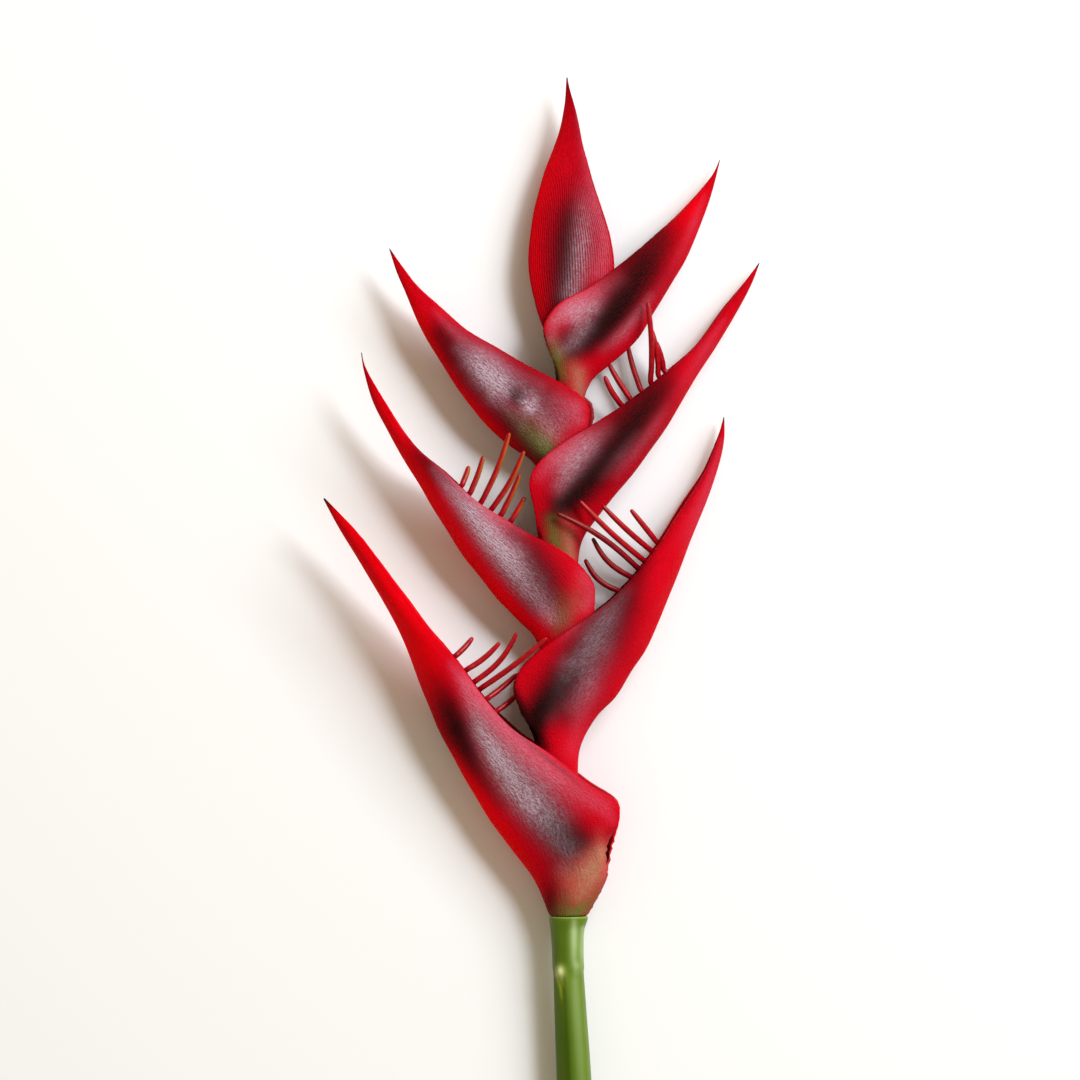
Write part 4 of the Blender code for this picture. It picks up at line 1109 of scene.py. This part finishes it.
class HELICONIA_PG_stem(bpy.types.PropertyGroup):
    green: color_prop("Green", "Green of the stem", "#5E7A12")
    deep: color_prop("Deep green", "Deepest green of the stem", "#4C630C")
    pale: color_prop("Pale green", "Fibres and collar rim", "#8AA448")
    # Painted highlight down the stem's lit side, where the light catches the wax
    sheen: color_prop("Sheen", "Pale wax along the upper side", "#A2BA80")
    # Painted shade down the stem's left half, away from the light
    shaded: color_prop("Shade", "Dark green between the stem's flats", "#3A5604")
    groove: color_prop("Groove", "Yellow-green lines under the scar", "#93A62C")
    nub: color_prop("Scar", "Pale scar on the stem", "#DCE29A")
    axis: color_prop("Axis", "Axis inside the head", "#8A3A20")
    fibre_spacing: length_prop("Fibre spacing", "Distance between fibres round the stem", 1.2)
    patch: length_prop("Patch", "Size of the patches in the green", 22.0)
    flats: number_prop("Flats", "How far the stem's sides are flattened", 0.45, subtype="FACTOR", max=1.0)


class HELICONIA_PG_studio(bpy.types.PropertyGroup):
    table: color_prop("Table", "Pale table under the flower", "#F3F3F3")
    fill: color_prop("Fill", "Warm light that comes back from the room", "#FFEBCB")
    fill_strength: number_prop("Fill strength", "Strength of that light", 0.43)
    key: color_prop("Key", "Cool daylight of both lights", "#F2F8FF")
    key_power: number_prop("Key power", "Power of the small key light", 38.0, subtype="POWER")
    key_size: length_prop("Key size", "Width of the small key light", 800.0)
    window_power: number_prop("Window power", "Power of the broad low light", 88.0, subtype="POWER")
    window_width: length_prop("Window width", "Width of the broad low light", 2600.0)
    window_height: length_prop("Window height", "Height of the broad low light", 1500.0)


def add_light(name, middle, elevation, **settings):
    """An area light that stands off toward the upper right and faces the middle of the picture."""
    flat = math.cos(elevation)
    toward = Vector((flat * math.cos(LIGHT_TOWARD), flat * math.sin(LIGHT_TOWARD), math.sin(elevation)))
    bpy.ops.object.light_add(type="AREA", location=middle + LIGHT_DISTANCE * toward)
    light = bpy.context.object
    light.name = name
    light.rotation_euler = toward.to_track_quat("Z", "Y").to_euler()
    for setting, value in settings.items():
        setattr(light.data, setting, value)


def colors_of(group, *names):
    """The named colours of a group of settings."""
    return {name: tuple(getattr(group, name)) for name in names}


class HELICONIA_OT_bracts(bpy.types.Operator):
    """Build the seven bracts"""
    bl_idname = "heliconia.bracts"
    bl_label = "Build Bracts"

    def execute(self, context):
        sizes = context.scene.heliconia_bracts
        colors = colors_of(sizes, "red", "red_deep", "tip", *PAINT_LAYERS)
        skin = bract_skin("waxy_bract_skin", colors, sizes, ribbed=False)
        ribbed = bract_skin("ribbed_waxy_bract_skin", colors, sizes, ribbed=True)
        lining = lining_skin(colors_of(sizes, "lining", "lining_deep"), sizes)
        for name in BRACTS:
            make_bract(name, ribbed if name == "bract_top" else skin, lining, sizes)
        return {"FINISHED"}


class HELICONIA_OT_florets(bpy.types.Operator):
    """Build the four bunches of florets"""
    bl_idname = "heliconia.florets"
    bl_label = "Build Florets"

    def execute(self, context):
        sizes = context.scene.heliconia_florets
        skin = floret_skin(colors_of(sizes, "red", "deep", "olive", "tip"), sizes)
        for name in FLORETS:
            make_florets(name, skin)
        return {"FINISHED"}


class HELICONIA_OT_stem(bpy.types.Operator):
    """Build the green stem and the axis inside the head"""
    bl_idname = "heliconia.stem"
    bl_label = "Build Stem"

    def execute(self, context):
        sizes = context.scene.heliconia_stem
        colors = colors_of(sizes, "green", "deep", "pale", "nub", "axis", *STEM_PAINT)
        make_stem(stem_skin(colors, sizes), sizes)
        return {"FINISHED"}


class HELICONIA_OT_studio(bpy.types.Operator):
    """Build the table, the lights and the camera"""
    bl_idname = "heliconia.studio"
    bl_label = "Build Studio"

    def execute(self, context):
        studio = context.scene.heliconia_studio
        bpy.ops.object.select_all(action="DESELECT")
        bpy.ops.mesh.primitive_plane_add(size=FLOOR_SIZE)
        table = context.object
        table.name = "table"
        # Board brushed with matt white paint, so it takes soft shadows and mirrors nothing
        material, _, shade, _ = new_material("matt_white_painted_table", roughness=0.9, specular=0.1)
        shade({"Base Color": tuple(studio.table)})
        table.data.materials.append(material)
        world = bpy.data.worlds.new("fill")
        world.use_nodes = True
        background = world.node_tree.nodes["Background"]
        background.inputs["Color"].default_value = tuple(studio.fill)
        background.inputs["Strength"].default_value = studio.fill_strength
        context.scene.world = world
        middle = place(*from_photo(*PHOTO_MIDDLE_PIXEL), 0.0)
        daylight = tuple(studio.key)[:3]
        add_light("key_light", middle, KEY_ELEVATION, energy=studio.key_power, color=daylight,
                  shape="DISK", size=studio.key_size)
        add_light("window_light", middle, WINDOW_ELEVATION, energy=studio.window_power, color=daylight,
                  shape="RECTANGLE", size=studio.window_width, size_y=studio.window_height)
        above = middle + Vector((0.0, 0.0, CAMERA_DISTANCE))
        bpy.ops.object.camera_add(location=above, rotation=(0.0, 0.0, 0.0))
        camera = context.object
        camera.data.sensor_width = SENSOR_WIDTH
        camera.data.lens = SENSOR_WIDTH * (CAMERA_DISTANCE - AXIS_HEIGHT * MM) / PHOTO_WIDTH
        camera.data.clip_end = CLIP_END
        context.scene.camera = camera
        context.scene.view_settings.view_transform = "Standard"
        return {"FINISHED"}


class HELICONIA_PT_panel(bpy.types.Panel):
    bl_label = "Heliconia Flower"
    bl_idname = "HELICONIA_PT_panel"
    bl_space_type = "VIEW_3D"
    bl_region_type = "UI"
    bl_category = "Heliconia"

    def draw(self, context):
        for operator, group in ((HELICONIA_OT_stem, "stem"), (HELICONIA_OT_bracts, "bracts"),
                                (HELICONIA_OT_florets, "florets"), (HELICONIA_OT_studio, "studio")):
            box = self.layout.box()
            box.operator(operator.bl_idname)
            settings = getattr(context.scene, "heliconia_" + group)
            for name in settings.bl_rna.properties.keys():
                if name not in ("rna_type", "name"):
                    box.prop(settings, name)


GROUPS = {"bracts": HELICONIA_PG_bracts, "florets": HELICONIA_PG_florets,
          "stem": HELICONIA_PG_stem, "studio": HELICONIA_PG_studio}
CLASSES = (*GROUPS.values(), HELICONIA_OT_stem, HELICONIA_OT_bracts, HELICONIA_OT_florets,
           HELICONIA_OT_studio, HELICONIA_PT_panel)


def register():
    for cls in CLASSES:
        bpy.utils.register_class(cls)
    for name, group in GROUPS.items():
        setattr(bpy.types.Scene, "heliconia_" + name, bpy.props.PointerProperty(type=group))


def unregister():
    for name in GROUPS:
        delattr(bpy.types.Scene, "heliconia_" + name)
    for cls in reversed(CLASSES):
        bpy.utils.unregister_class(cls)


def main():
    register()
    bpy.ops.heliconia.stem()
    bpy.ops.heliconia.bracts()
    bpy.ops.heliconia.florets()
    bpy.ops.heliconia.studio()


if __name__ == "__main__":
    main()
